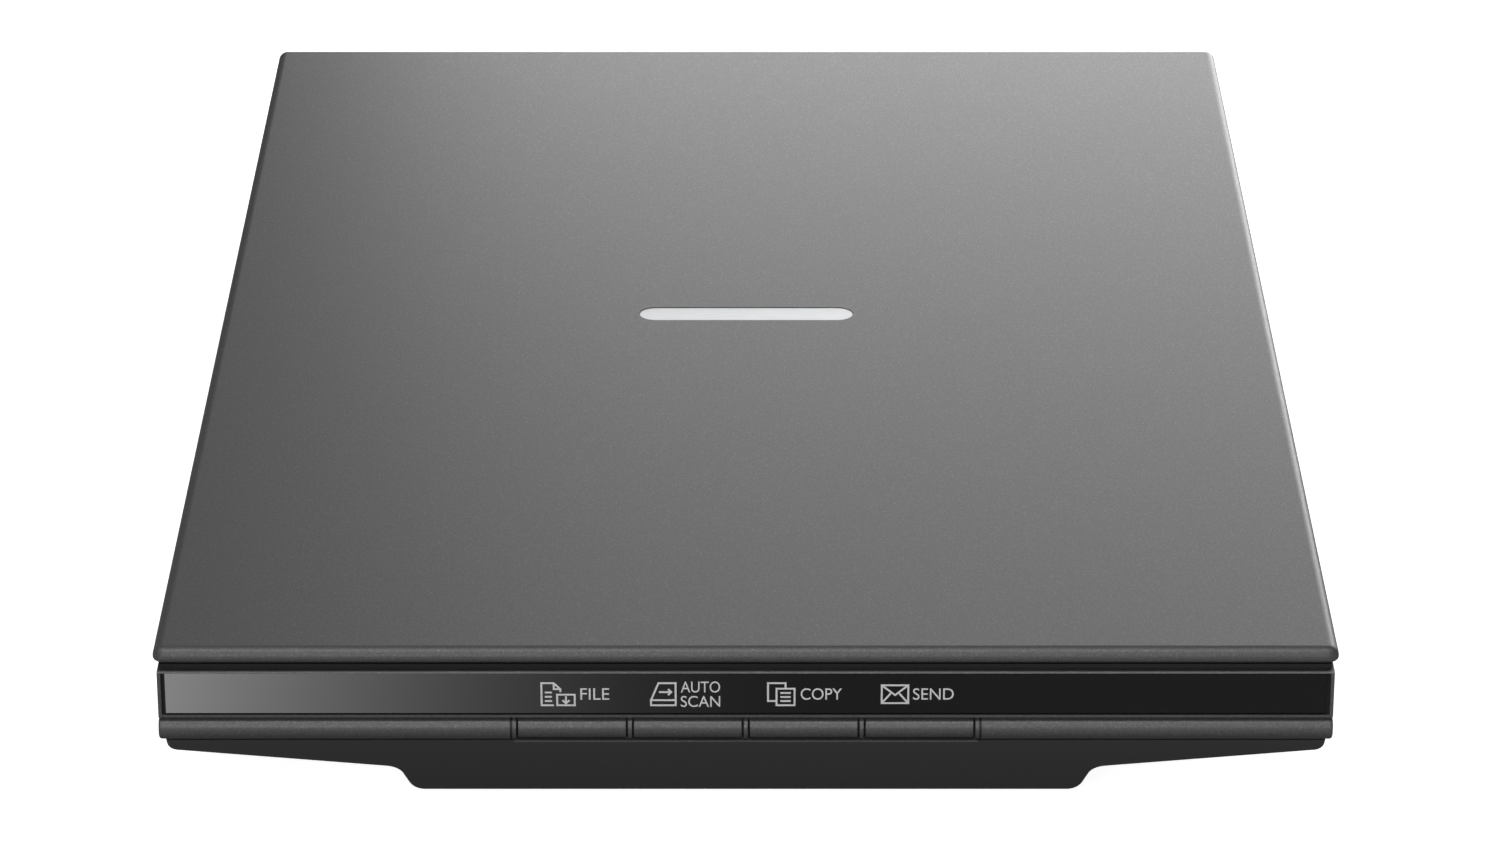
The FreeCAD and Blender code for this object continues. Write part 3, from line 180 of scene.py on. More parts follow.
def moulded_plastic(name, colour, roughness, grain=0.35, mottle=0.12):
    """Spark-eroded moulded plastic: a fine grain, in millimetres, and slightly uneven colour."""
    material, tree, shader = new_material(name)
    at = place(tree)
    fine = noise(tree, at, grain * MM, 3.0, 0.6)
    broad = noise(tree, at, 40 * MM, 2.0)
    tone = blend_colours(tree, fine, scaled(colour, 1 - mottle), scaled(colour, 1 + mottle))
    shade = blend_colours(tree, broad, scaled(colour, 0.94), scaled(colour, 1.06))
    mixed = add(tree, "ShaderNodeMix", data_type="RGBA", Factor=0.5)
    tree.links.new(tone, mixed.inputs[6])
    tree.links.new(shade, mixed.inputs[7])
    tree.links.new(mixed.outputs[2], shader.inputs["Base Color"])
    tree.links.new(spread(tree, fine, roughness - 0.06, roughness + 0.06), shader.inputs["Roughness"])
    add_bump(tree, shader, fine, 0.6, 0.03 * MM)
    return material


def metallic_paint(name, colour):
    """Charcoal metallic plastic: bright flakes in a dark satin coat."""
    material, tree, shader = new_material(name)
    at = place(tree)
    fine = noise(tree, at, 0.42 * MM, 4.0, 0.7)
    flakes = cells(tree, at, 0.26 * MM)
    flake = spread(tree, flakes.outputs["Color"], 0.0, 1.0, 0.70, 0.98)
    ground = blend_colours(tree, spread(tree, fine, 0.0, 1.0), scaled(colour, 0.72), scaled(colour, 1.28))
    tone = blend_colours(tree, spread(tree, flake, 0.0, 0.5, 0.0, 1.0), ground, scaled(colour, 1.9))
    tree.links.new(tone, shader.inputs["Base Color"])
    tree.links.new(spread(tree, flake, 0.50, 0.36, 0.0, 1.0), shader.inputs["Roughness"])
    set_shader(shader, Metallic=0.25)
    add_bump(tree, shader, fine, 0.5, 0.02 * MM)
    return material


def gloss_black(name):
    """Polished black plastic with faint wiping marks."""
    material, tree, shader = new_material(name)
    smears = noise(tree, place(tree, (0.25, 1.0, 1.0)), 6 * MM, 4.0, 0.6)
    dust = cells(tree, place(tree), 2.6 * MM)
    speck = spread(tree, dust.outputs["Distance"], 1.0, 0.0, 0.02, 0.05)
    tone = blend_colours(tree, speck, (0.0075, 0.0075, 0.008), (0.016, 0.016, 0.017))
    tree.links.new(tone, shader.inputs["Base Color"])
    tree.links.new(spread(tree, smears, 0.05, 0.10), shader.inputs["Roughness"])
    set_shader(shader, IOR=1.41)
    return material


def clear_glass(name, tint, roughest=0.02):
    """Clear glass with a faint tint and slightly uneven polish."""
    material, tree, shader = new_material(name)
    haze = noise(tree, place(tree), 18 * MM, 3.0)
    tree.links.new(spread(tree, haze, 0.0, roughest), shader.inputs["Roughness"])
    tone = blend_colours(tree, haze, scaled(tint, 0.98), tint)
    tree.links.new(tone, shader.inputs["Base Color"])
    set_shader(shader, Transmission_Weight=1.0, IOR=1.5)
    return material


def brushed_metal(name, colour, roughness, along):
    """Metal with fine lines along one axis."""
    material, tree, shader = new_material(name)
    stretch = [1.0, 1.0, 1.0]
    stretch["XYZ".index(along)] = 0.02
    lines = noise(tree, place(tree, tuple(stretch)), 0.12 * MM, 3.0, 0.7)
    tone = blend_colours(tree, spread(tree, lines, 0.0, 1.0), scaled(colour, 0.8), scaled(colour, 1.1))
    tree.links.new(tone, shader.inputs["Base Color"])
    tree.links.new(spread(tree, lines, roughness - 0.07, roughness + 0.08), shader.inputs["Roughness"])
    set_shader(shader, Metallic=1.0)
    add_bump(tree, shader, lines, 0.4, 0.006 * MM)
    return material


def soft_rubber(name, colour):
    """Matt rubber with a fine pitted skin and some dust."""
    material, tree, shader = new_material(name)
    at = place(tree)
    pits = noise(tree, at, 0.5 * MM, 4.0, 0.7)
    dust = noise(tree, at, 5 * MM, 3.0)
    tone = blend_colours(tree, spread(tree, dust, 0.0, 0.35), colour, scaled(colour, 2.4))
    tree.links.new(tone, shader.inputs["Base Color"])
    tree.links.new(spread(tree, pits, 0.7, 0.9), shader.inputs["Roughness"])
    add_bump(tree, shader, pits, 0.7, 0.05 * MM)
    return material


def foam(name, colour):
    """Closed-cell foam: small round cells under a thin skin."""
    material, tree, shader = new_material(name)
    at = place(tree)
    cell = cells(tree, at, 0.7 * MM)
    depth = spread(tree, cell.outputs["Distance"], 0.0, 1.0, 0.05, 0.6)
    tone = blend_colours(tree, depth, scaled(colour, 0.86), colour)
    tree.links.new(tone, shader.inputs["Base Color"])
    set_shader(shader, Roughness=0.92, Specular_IOR_Level=0.2)
    add_bump(tree, shader, depth, 0.8, 0.12 * MM)
    return material


def printed_board(name):
    """Green solder mask over copper traces, with tinned pads."""
    material, tree, shader = new_material(name)
    at = place(tree)
    traces = add(tree, "ShaderNodeTexBrick", Scale=1.0)
    traces.inputs["Brick Width"].default_value = 3.1 * MM
    traces.inputs["Row Height"].default_value = 1.3 * MM
    traces.inputs["Mortar Size"].default_value = 0.16 * MM
    traces.inputs["Mortar Smooth"].default_value = 0.1
    tree.links.new(at, traces.inputs["Vector"])
    base = blend_colours(tree, traces.outputs["Fac"], (0.010, 0.075, 0.030), (0.022, 0.15, 0.062))
    pads = cells(tree, at, 2.4 * MM)
    pad = spread(tree, pads.outputs["Distance"], 1.0, 0.0, 0.14, 0.18)
    tone = blend_colours(tree, pad, base, (0.62, 0.60, 0.54))
    tree.links.new(tone, shader.inputs["Base Color"])
    tree.links.new(spread(tree, pad, 0.0, 0.9, 0.0, 1.0), shader.inputs["Metallic"])
    set_shader(shader, Roughness=0.32)
    add_bump(tree, shader, traces.outputs["Fac"], 0.5, 0.03 * MM)
    return material


def ribbon_film(name):
    """White flat cable with thin tinned conductors along it."""
    material, tree, shader = new_material(name)
    per_metre = 1 / (2 * math.pi * MM)
    wave = add(tree, "ShaderNodeTexWave", wave_type="BANDS", bands_direction="X", Scale=per_metre)
    tree.links.new(place(tree), wave.inputs["Vector"])
    conductor = spread(tree, wave.outputs["Fac"], 0.0, 1.0, 0.4, 0.6)
    tone = blend_colours(tree, conductor, (0.74, 0.76, 0.78), (0.52, 0.54, 0.57))
    tree.links.new(tone, shader.inputs["Base Color"])
    set_shader(shader, Roughness=0.35)
    add_bump(tree, shader, wave.outputs["Fac"], 0.4, 0.04 * MM)
    return material


def white_film(name, colour):
    """White plastic film with a faint orange-peel skin and light handling marks."""
    material, tree, shader = new_material(name)
    at = place(tree)
    peel = noise(tree, at, 1.1 * MM, 3.0)
    marks = noise(tree, at, 60 * MM, 4.0, 0.6)
    tone = blend_colours(tree, spread(tree, marks, 0.0, 1.0), scaled(colour, 0.965), colour)
    tree.links.new(tone, shader.inputs["Base Color"])
    tree.links.new(spread(tree, marks, 0.42, 0.55), shader.inputs["Roughness"])
    add_bump(tree, shader, peel, 0.3, 0.02 * MM)
    return material


def waxy_plastic(name, colour):
    """Natural acetal: slightly translucent and waxy, with faint flow marks."""
    material, tree, shader = new_material(name)
    flow = noise(tree, place(tree, (1.0, 0.4, 1.0)), 3 * MM, 4.0, 0.6)
    tone = blend_colours(tree, spread(tree, flow, 0.0, 1.0), scaled(colour, 0.9), colour)
    tree.links.new(tone, shader.inputs["Base Color"])
    tree.links.new(spread(tree, flow, 0.36, 0.48), shader.inputs["Roughness"])
    set_shader(shader, Subsurface_Weight=0.15, Subsurface_Scale=0.5 * MM)
    add_bump(tree, shader, flow, 0.3, 0.02 * MM)
    return material


def print_ink(name, colour):
    """Screen-printed ink: matt and slightly uneven."""
    material, tree, shader = new_material(name)
    grain = noise(tree, place(tree), 0.18 * MM, 3.0)
    tone = blend_colours(tree, spread(tree, grain, 0.0, 1.0), scaled(colour, 0.86), colour)
    tree.links.new(tone, shader.inputs["Base Color"])
    set_shader(shader, Roughness=0.55)
    add_bump(tree, shader, grain, 0.3, 0.01 * MM)
    return material


CHARCOAL = (0.105, 0.105, 0.108)
LIP_CHARCOAL = scaled(CHARCOAL, 1.2)
MATERIALS = {
    "lid_plastic": metallic_paint("lid_plastic", CHARCOAL),
    "trim_plastic": metallic_paint("trim_plastic", LIP_CHARCOAL),
    "button_plastic": metallic_paint("button_plastic", LIP_CHARCOAL),
    "body_plastic": moulded_plastic("body_plastic", (0.020, 0.020, 0.021), 0.55),
    "base_plastic": moulded_plastic("base_plastic", (0.084, 0.084, 0.086), 0.52, mottle=0.3),
    "panel_plastic": moulded_plastic("panel_plastic", (0.11, 0.11, 0.115), 0.5),
    "sensor_plastic": moulded_plastic("sensor_plastic", (0.022, 0.022, 0.024), 0.45),
    "switch": moulded_plastic("switch", (0.02, 0.02, 0.02), 0.4),
    "chip": moulded_plastic("chip", (0.016, 0.016, 0.017), 0.6, grain=0.15),
    "panel_gloss": gloss_black("panel_gloss"),
    "badge_metal": brushed_metal("badge_metal", (0.66, 0.67, 0.68), 0.42, "X"),
    "platen": clear_glass("platen", (0.93, 0.985, 0.965)),
    "cover_glass": clear_glass("cover_glass", (0.95, 0.98, 0.98)),
    "lens": clear_glass("lens", (0.72, 0.78, 0.80), 0.2),
    "light_guide": clear_glass("light_guide", (0.95, 0.97, 0.98), 0.1),
    "tape": moulded_plastic("tape", (0.02, 0.02, 0.02), 0.7),
    "white_strip": white_film("white_strip", (0.85, 0.85, 0.84)),
    "white_sheet": white_film("white_sheet", (0.86, 0.86, 0.85)),
    "foam": foam("foam", (0.78, 0.78, 0.77)),
    "rubber": soft_rubber("rubber", (0.022, 0.022, 0.022)),
    "steel": brushed_metal("steel", (0.66, 0.66, 0.67), 0.2, "Y"),
    "screw_steel": brushed_metal("screw_steel", (0.60, 0.61, 0.63), 0.3, "X"),
    "motor_can": brushed_metal("motor_can", (0.55, 0.55, 0.57), 0.34, "Z"),
    "socket_steel": brushed_metal("socket_steel", (0.70, 0.70, 0.71), 0.25, "Y"),
    "brass": brushed_metal("brass", (0.78, 0.58, 0.27), 0.25, "Z"),
    "acetal": waxy_plastic("acetal", (0.80, 0.80, 0.75)),
    "circuit_board": printed_board("circuit_board"),
    "ribbon": ribbon_film("ribbon"),
}


def dress_nodes():
    """Give every CAD node the material of its slot."""
    for entry in frame["record"]["subparts"]:
        node = frame["nodes"][entry["node"]]
        for slot in node.material_slots:
            slot.material = MATERIALS[entry["material_slot"]]


dress_nodes()


# ---------------------------------------------------------------- mesh help


def mesh_piece(name, mesh, material, body):
    """Turn a bmesh into a piece. It rides on a body, if one is given, and is otherwise left free."""
    data = bpy.data.meshes.new(name)
    mesh.to_mesh(data)
    mesh.free()
    piece = bpy.data.objects.new(name, data)
    bpy.context.scene.collection.objects.link(piece)
    data.materials.append(material)
    if body:
        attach(piece, body)
    return piece


def add_ring(mesh, points):
    """Add a closed loop of vertices."""
    return [mesh.verts.new(point) for point in points]


def bridge(mesh, first, second):
    """Join two loops of equal length with quads."""
    count = len(first)
    for index in range(count):
        after = (index + 1) % count
        mesh.faces.new((first[index], first[after], second[after], second[index]))


def smooth(piece, angle=40):
    """Smooth shading, with creases sharper than the angle kept."""
    for face in piece.data.polygons:
        face.use_smooth = True
    for edge in crease_edges(piece.data, math.radians(angle)):
        edge.use_edge_sharp = True


def crease_edges(data, angle):
    """The edges of a mesh where two faces meet at more than the angle."""
    mesh = bmesh.new()
    mesh.from_mesh(data)
    shared = [edge for edge in mesh.edges if len(edge.link_faces) == 2]
    sharp = [edge.index for edge in shared if edge.calc_face_angle() > angle]
    mesh.free()
    return [data.edges[index] for index in sharp]


def sweep(mesh, path, section):
    """Carry a section along a path and close its ends. section gives the loop at one step."""
    rings = []
    for index, point in enumerate(path):
        before = path[max(index - 1, 0)]
        after = path[min(index + 1, len(path) - 1)]
        rings.append(add_ring(mesh, section(point, (after - before).normalized())))
    for first, second in zip(rings, rings[1:]):
        bridge(mesh, first, second)
    mesh.faces.new(reversed(rings[0]))
    mesh.faces.new(rings[-1])


def arc_points(centre, radius, first, last, steps, across):
    """Points on an arc, both ends included. across gives the place's direction at a turn."""
    points = []
    for step in range(steps + 1):
        turn = math.radians(first + (last - first) * step / steps)
        points.append(centre + across(math.cos(turn), math.sin(turn)) * radius)
    return points


def level(x, y):
    """A direction in a level plane."""
    return Vector((x, y, 0))


def upright(y, z):
    """A direction in the upright plane across X."""
    return Vector((0, y, z))


def rounded_outline(half_x, half_y, radius, per_side=10, per_corner=5):
    """Points round a level rectangle with round corners, about zero."""
    arcs = []
    for side_x, side_y, first in ((1, 1, 0), (-1, 1, 90), (-1, -1, 180), (1, -1, 270)):
        centre = Vector((side_x * (half_x - radius), side_y * (half_y - radius), 0))
        arcs.append(arc_points(centre, radius, first, first + 90, per_corner, level))
    points = []
    for index, arc in enumerate(arcs):
        points += arc
        following = arcs[(index + 1) % 4][0]
        for step in range(1, per_side):
            points.append(arc[-1].lerp(following, step / per_side))
    return points


# ----------------------------------------------------------------- soft pieces


# How far in from the edge each ring of a soft layer stands, in millimetres.
PAD_RINGS = (0.0, 0.15, 0.45, 0.9, 1.6, 2.6, 4.5, 8, 14, 24, 38, 56, 76, 96)


def pad_height(place_at, inset):
    """How far a soft layer's underside stands up at a point: most at its edge, then a slow wave."""
    rim = math.exp(-inset / 7.0)
    wave = 0.5 * math.sin(place_at.x / (31 * MM) + 0.7) * math.sin(place_at.y / (43 * MM) - 0.4)
    return rim + wave * (1 - rim)


def soft_layer(name, low, high, corner, edge, slump, slot):
    """A soft sheet under the lid: flat above, slightly crowned below, with round edges and corners.

    The corner's radius, the edge's width and the slump are in millimetres.
    """
    mesh = bmesh.new()
    middle = (low + high) / 2
    half = (high - low) / 2
    thick = high.z - low.z

    def layer(inset_mm, below):
        inset = inset_mm * MM
        radius = max(corner * MM - inset, 0.4 * MM)
        roll = max(0.0, 1 - inset_mm / edge)
        rounding = (1 - math.sqrt(1 - roll * roll)) * thick / 2
        ring = []
        for point in rounded_outline(half.x - inset, half.y - inset, radius):
            if below:
                height = low.z + rounding + slump * MM * pad_height(point, inset_mm)
            else:
                height = high.z - rounding
            ring.append((middle.x + point.x, middle.y + point.y, height))
        return add_ring(mesh, ring)

    lower = [layer(inset, True) for inset in reversed(PAD_RINGS)]
    upper = [layer(inset, False) for inset in PAD_RINGS]
    rings = lower + upper[1:]
    for first, second in zip(rings, rings[1:]):
        bridge(mesh, first, second)
    mesh.faces.new(rings[0])
    mesh.faces.new(reversed(rings[-1]))
    bmesh.ops.recalc_face_normals(mesh, faces=mesh.faces)
    piece = mesh_piece(name, mesh, MATERIALS[slot], "lid")
    smooth(piece, 60)
    return piece


def make_lid_pad():
    """The foam under the lid and the white film that covers it."""
    low, high = box_corners("pad_foam")
    shy = Vector((0.7 * MM, 0.7 * MM, 0))
    foam_pad = soft_layer(
        "foam_pad", low + shy, high - shy,
        corner=5, edge=0.6, slump=0.22, slot="foam",
    )
    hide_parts("pad_foam")
    low, high = box_corners("pad_sheet")
    film = soft_layer(
        "white_film", low, high,
        corner=5, edge=0.2, slump=0.12, slot="white_sheet",
    )
    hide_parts("pad_sheet")


def make_springs():
    """The two coil springs under the sensor, which reach up to just under its housing.

    The wire lies nearly flat over the share of its length called dead, at each of its ends.
    """
    low, high = box_corners("sensor_springs")
    wire = 0.3 * MM
    turns = 6.5
    steps = 160
    dead = 0.13
    middle_y = (low.y + high.y) / 2
    radius = (high.y - low.y) / 2 - wire
    bottom = low.z + wire * 1.9
    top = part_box("sensor_housing")[0][2] - wire * 1.1
    mesh = bmesh.new()
    for centre_x in (low.x + radius + wire, high.x - radius - wire):
        path = []
        for step in range(steps + 1):
            part = step / steps
            turn = turns * 2 * math.pi * part
            share = min(1.0, max(0.0, (part - dead) / (1 - 2 * dead)))
            closing = (min(part, dead) + max(part - (1 - dead), 0) - dead) / dead
            height = bottom + (top - bottom) * share + wire * 0.8 * closing
            path.append(Vector((centre_x, middle_y, height)) + level(math.cos(turn), math.sin(turn)) * radius)

        def wire_section(point, along):
            outward = Vector((point.x - centre_x, point.y - middle_y, 0)).normalized()
            side = along.cross(outward).normalized()
            angles = [2 * math.pi * k / 8 for k in range(8)]
            return [point + (outward * math.cos(a) + side * math.sin(a)) * wire for a in angles]

        sweep(mesh, path, wire_section)
    bmesh.ops.recalc_face_normals(mesh, faces=mesh.faces)
    springs = mesh_piece("spring_coils", mesh, MATERIALS["steel"], None)
    smooth(springs, 60)
    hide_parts("sensor_springs")
    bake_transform(springs)


def ribbon_strip(name, path, left, right, thick, body):
    """A flat cable along a path, from one X to another."""
    mesh = bmesh.new()

    def section(point, along):
        outward = Vector((1, 0, 0)).cross(along).normalized() * thick / 2
        return [
            Vector((left, point.y, point.z)) + outward, Vector((right, point.y, point.z)) + outward,
            Vector((right, point.y, point.z)) - outward, Vector((left, point.y, point.z)) - outward,
        ]

    sweep(mesh, path, section)
    bmesh.ops.recalc_face_normals(mesh, faces=mesh.faces)
    piece = mesh_piece(name, mesh, MATERIALS["ribbon"], body)
    smooth(piece)
    return piece


def bend_points(centre_y, centre_z, radius, first, last):
    """Points inside a bend of the cable, between two angles in degrees from +Y towards +Z."""
    return arc_points(Vector((0, centre_y, centre_z)), radius, first, last, 8, upright)[1:-1]


def make_ribbon():
    """The flat cable in two runs: one fixed behind the middle, and one left free that rises at the front
    towards the carriage.
    """
    low, high = box_corners("ribbon_cable")
    steps = 56
    thick = 0.2 * MM
    bend = 3 * MM
    front = low.y + thick / 2
    rear = high.y - thick / 2
    floor = low.z + thick / 2
    middle = (front + rear) / 2
    fixed = [Vector((0, middle, floor))]
    fixed += [Vector((0, middle + (rear - bend - middle) * k / 20, floor)) for k in range(1, 21)]
    fixed += bend_points(rear - bend, floor + bend, bend, 270, 360)
    fixed += [Vector((0, rear, floor + bend)), Vector((0, rear, high.z - 1 * MM)), Vector((0, rear, high.z))]
    run = ribbon_strip("ribbon_fixed_run", fixed, low.x, high.x, thick, "base")
    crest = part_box("carriage")[0][2] + 14 * MM
    raised = floor + 0.6 * MM
    free = [Vector((0, front, crest)), Vector((0, front, raised + bend))]
    free += bend_points(front + bend, raised + bend, bend, 180, 270)
    for step in range(steps + 1):
        share = step / steps
        lift = raised + (floor + 0.21 * MM - raised) * share ** 6
        free.append(Vector((0, front + bend + (middle - front - bend) * share, lift)))
    loose = ribbon_strip("ribbon_free_run", free, low.x, high.x, thick, None)
    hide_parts("ribbon_cable")
    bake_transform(loose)


make_lid_pad()
make_springs()
make_ribbon()


# -------------------------------------------------------------- printed marks


INK = print_ink("white_ink", (0.98, 0.98, 0.98))

# In millimetres: a printed line's width, the ink's height, and how much higher each next line
# of an icon is, so that crossing lines never lie in one plane.
STROKE = 0.40
INK_HEIGHT = 0.02
INK_STEP = 0.002

# The icons' lines, in millimetres about an icon's middle.
FILE_ICON = (
    ((-0.9, -2.6), (-3.5, -2.6), (-3.5, 2.6), (-0.9, 2.6), (0.5, 1.2), (0.5, 0.5)),
    ((-0.9, 2.6), (-0.9, 1.2), (0.5, 1.2)),
    ((-2.8, 0.4), (-1.3, 0.4)),
    ((-2.8, -0.6), (-1.3, -0.6)),
    ((-2.8, -1.6), (-1.3, -1.6)),
    ((-0.2, -2.6), (3.5, -2.6), (3.5, -0.1), (-0.2, -0.1), (-0.2, -2.6)),
    ((1.65, -0.5), (1.65, -2.1)),
    ((0.9, -1.4), (1.65, -2.15), (2.4, -1.4)),
)
SCAN_ICON = (
    ((-2.6, -2.6), (2.6, -2.6), (2.6, -1.4), (-2.6, -1.4), (-2.6, -2.6)),
    ((-2.6, -1.4), (-1.0, 2.6), (2.6, 2.6), (2.6, -1.4)),
    ((-0.9, 0.5), (1.7, 0.5)),
    ((1.0, 1.2), (1.7, 0.5), (1.0, -0.2)),
)
COPY_ICON = (
    ((-1.0, -1.6), (-2.8, -1.6), (-2.8, 2.6), (0.9, 2.6), (0.9, 1.5)),
    ((-1.0, -2.6), (2.8, -2.6), (2.8, 1.3), (-1.0, 1.3), (-1.0, -2.6)),
    ((-0.2, 0.3), (2.0, 0.3)),
    ((-0.2, -0.65), (2.0, -0.65)),
    ((-0.2, -1.6), (2.0, -1.6)),
)
SEND_ICON = (
    ((-2.8, -2.1), (2.8, -2.1), (2.8, 2.1), (-2.8, 2.1), (-2.8, -2.1)),
    ((-2.8, 2.1), (0, -0.2), (2.8, 2.1)),
    ((-2.8, -2.1), (-0.9, 0.2)),
    ((2.8, -2.1), (0.9, 0.2)),
)


def corner_offset(points, index, closed, half):
    """How far the edge of a stroke stands off its middle line at one of its corners."""
    count = len(points)
    directions = []
    if closed or index > 0:
        directions.append((points[index] - points[index - 1]).normalized())
    if closed or index < count - 1:
        directions.append((points[(index + 1) % count] - points[index]).normalized())
    across = sum((Vector((-d.y, d.x)) for d in directions), Vector((0, 0))).normalized()
    return across * half / max(0.35, across.dot(Vector((-directions[0].y, directions[0].x))))


def draw_stroke(mesh, corners, to_surface, width, thick):
    """A printed line with mitred corners. to_surface turns (across, up, out) into a place."""
    points = [Vector(corner) for corner in corners]
    closed = (points[0] - points[-1]).length < 0.001
    if closed:
        points.pop()
    rings = []
    for index, point in enumerate(points):
        offset = corner_offset(points, index, closed, width / 2)
        left = point + offset
        right = point - offset
        rings.append(add_ring(mesh, [
            to_surface(left.x, left.y, 0), to_surface(left.x, left.y, thick),
            to_surface(right.x, right.y, thick), to_surface(right.x, right.y, 0),
        ]))
    pairs = list(zip(rings, rings[1:]))
    if closed:
        pairs.append((rings[-1], rings[0]))
    for first, second in pairs:
        bridge(mesh, first, second)
    if not closed:
        mesh.faces.new(reversed(rings[0]))
        mesh.faces.new(rings[-1])


def panel_surface(centre_x, centre_z):
    """A map from millimetres about an icon's middle to the front of the glossy strip."""
    middle_z = (PANEL_LOW.z + PANEL_HIGH.z) / 2

    def to_surface(across, up, out):
        return ((centre_x + across) * MM, PANEL_LOW.y - out * MM, middle_z + (centre_z + up) * MM)

    return to_surface


def make_icon(name, strokes, centre_x):
    """One printed function icon on the glossy strip."""
    mesh = bmesh.new()
    for index, corners in enumerate(strokes):
        height = INK_HEIGHT + INK_STEP * index
        draw_stroke(mesh, corners, panel_surface(centre_x, -0.2), STROKE, height)
    bmesh.ops.recalc_face_normals(mesh, faces=mesh.faces)
    return mesh_piece(name, mesh, INK, "base")


def make_word(name, word, left, right, low, high):
    """One printed word that fills a box on the glossy strip, in millimetres."""
    font = bpy.data.curves.new(name + "_curve", "FONT")
    font.body = word
    font.extrude = 0.01
    holder = bpy.data.objects.new(name + "_curve", font)
    bpy.context.scene.collection.objects.link(holder)
    bpy.context.view_layer.update()
    data = bpy.data.meshes.new_from_object(holder)
    bpy.data.objects.remove(holder)
    mesh = bmesh.new()
    mesh.from_mesh(data)
    bpy.data.meshes.remove(data)
    xs = [vert.co.x for vert in mesh.verts]
    ys = [vert.co.y for vert in mesh.verts]
    place_at = panel_surface(0, 0)
    for vert in mesh.verts:
        across = left + (vert.co.x - min(xs)) / (max(xs) - min(xs)) * (right - left)
        up = low + (vert.co.y - min(ys)) / (max(ys) - min(ys)) * (high - low)
        vert.co = Vector(place_at(across, up, INK_HEIGHT if vert.co.z > 0 else 0))
    bmesh.ops.remove_doubles(mesh, verts=mesh.verts, dist=0.001 * MM)
    bmesh.ops.recalc_face_normals(mesh, faces=mesh.faces)
    return mesh_piece(name, mesh, INK, "base")


def make_panel_print():
    """The four icons with their words on their right, above the buttons."""
    make_icon("icon_file", FILE_ICON, -39.6)
    make_icon("icon_scan", SCAN_ICON, -17.4)
    make_icon("icon_copy", COPY_ICON, 7.5)
    make_icon("icon_send", SEND_ICON, 31.5)
    make_word("word_file", "FILE", -34.9, -28.8, -1.5, 1.2)
    make_word("word_auto", "AUTO", -13.7, -5.4, 0.2, 2.8)
    make_word("word_scan", "SCAN", -13.7, -5.4, -3.2, -0.6)
    make_word("word_copy", "COPY", 11.6, 20.3, -1.5, 1.2)
    make_word("word_send", "SEND", 35.3, 43.9, -1.5, 1.2)


# The window's half width and its front edge, and the page sizes marked beside it, in millimetres.
WINDOW_HALF = 109.0
WINDOW_FRONT = -146.0
PAGE_LENGTHS = (127, 178, 210, 254, 279.4, 297)
PAGE_WIDTHS = (89, 127, 148, 182, 210)


def make_page_marks():
    """The corner arrow and the page-size ticks round the glass, on the frame's top."""
    mesh = bmesh.new()
    edge_x = WINDOW_HALF + 2.2

    def to_surface(across, up, out):
        return (across * MM, up * MM, FRAME_TOP + out * MM)

    def from_corner(across, down):
        return (edge_x + across, WINDOW_FRONT - down)

    arrow = (from_corner(1.2, 2.4), from_corner(3.4, 5.6), from_corner(5.2, 2.8))
    draw_stroke(mesh, (*arrow, arrow[0]), to_surface, 0.5, 0.03)
    draw_stroke(mesh, (from_corner(0.2, 1.2), from_corner(3.0, 4.0)), to_surface, 0.5, 0.034)
    for length in PAGE_LENGTHS:
        up = WINDOW_FRONT + length
        tick = ((edge_x - 0.4, up), (edge_x + 2.2, up))
        draw_stroke(mesh, tick, to_surface, 0.35, 0.03)
    for width in PAGE_WIDTHS:
        across = WINDOW_HALF - width
        tick = ((across, WINDOW_FRONT - 1.6), (across, WINDOW_FRONT - 4.2))
        draw_stroke(mesh, tick, to_surface, 0.35, 0.03)
    bmesh.ops.recalc_face_normals(mesh, faces=mesh.faces)
    mesh_piece("page_marks", mesh, INK, "base")


# The lip's shape, and the dark strips in it that paint the shadow of a seam outside the first and the last
# button.
LIP_RADIUS = 2.4 * MM
LIP_HEIGHT = 5.2 * MM
LIP_LIFT = 0.3 * MM
SEAM_HALF = 0.26 * MM
SEAM_DEEP = 0.35 * MM
SEAM_PROUD = 0.03 * MM
SEAM_TO_BUTTON = 0.8 * MM


def make_painted_seam_shadows():
    """Painted shadows in the lip, outside the first and the last button: dark strips, sunk a little into the
    lip, that stand in for the shade in seams there.
    """
    trim_low = box_corners("front_trim")[0]
    lip_low = trim_low.z + LIP_LIFT
    first = box_corners("button_file")[0].x
    last = box_corners("button_send")[1].x
    bends = (
        (lip_low + LIP_RADIUS, 270, 180),
        (lip_low + LIP_HEIGHT - LIP_RADIUS, 180, 95),
    )
    mesh = bmesh.new()
    for middle in (first - SEAM_TO_BUTTON, last + SEAM_TO_BUTTON):
        rings = []
        for depth in (-SEAM_DEEP, SEAM_PROUD):
            for side in (-SEAM_HALF, SEAM_HALF):
                outline = []
                for centre_z, start, stop in bends:
                    centre = Vector((middle + side, trim_low.y + LIP_RADIUS, centre_z))
                    outline += arc_points(centre, LIP_RADIUS + depth, start, stop, 8, upright)
                rings.append(add_ring(mesh, outline))
        inner_left, inner_right, outer_left, outer_right = rings
        for one, other in (
            (inner_right, inner_left), (outer_left, outer_right),
            (inner_left, outer_left), (outer_right, inner_right),
        ):
            for index in range(len(outline) - 1):
                mesh.faces.new((one[index], one[index + 1], other[index + 1], other[index]))
        for index in (0, -1):
            mesh.faces.new((inner_left[index], inner_right[index], outer_right[index], outer_left[index]))
    bmesh.ops.recalc_face_normals(mesh, faces=mesh.faces)
    # Near-black plastic, so that the strips are painted shadow in the seams.
    smooth(mesh_piece("painted_seam_shadows", mesh, MATERIALS["tape"], "base"))


PLATE_HALF_X = 32 * MM
PLATE_HALF_Y = 17 * MM
PLATE_Y = 40 * MM


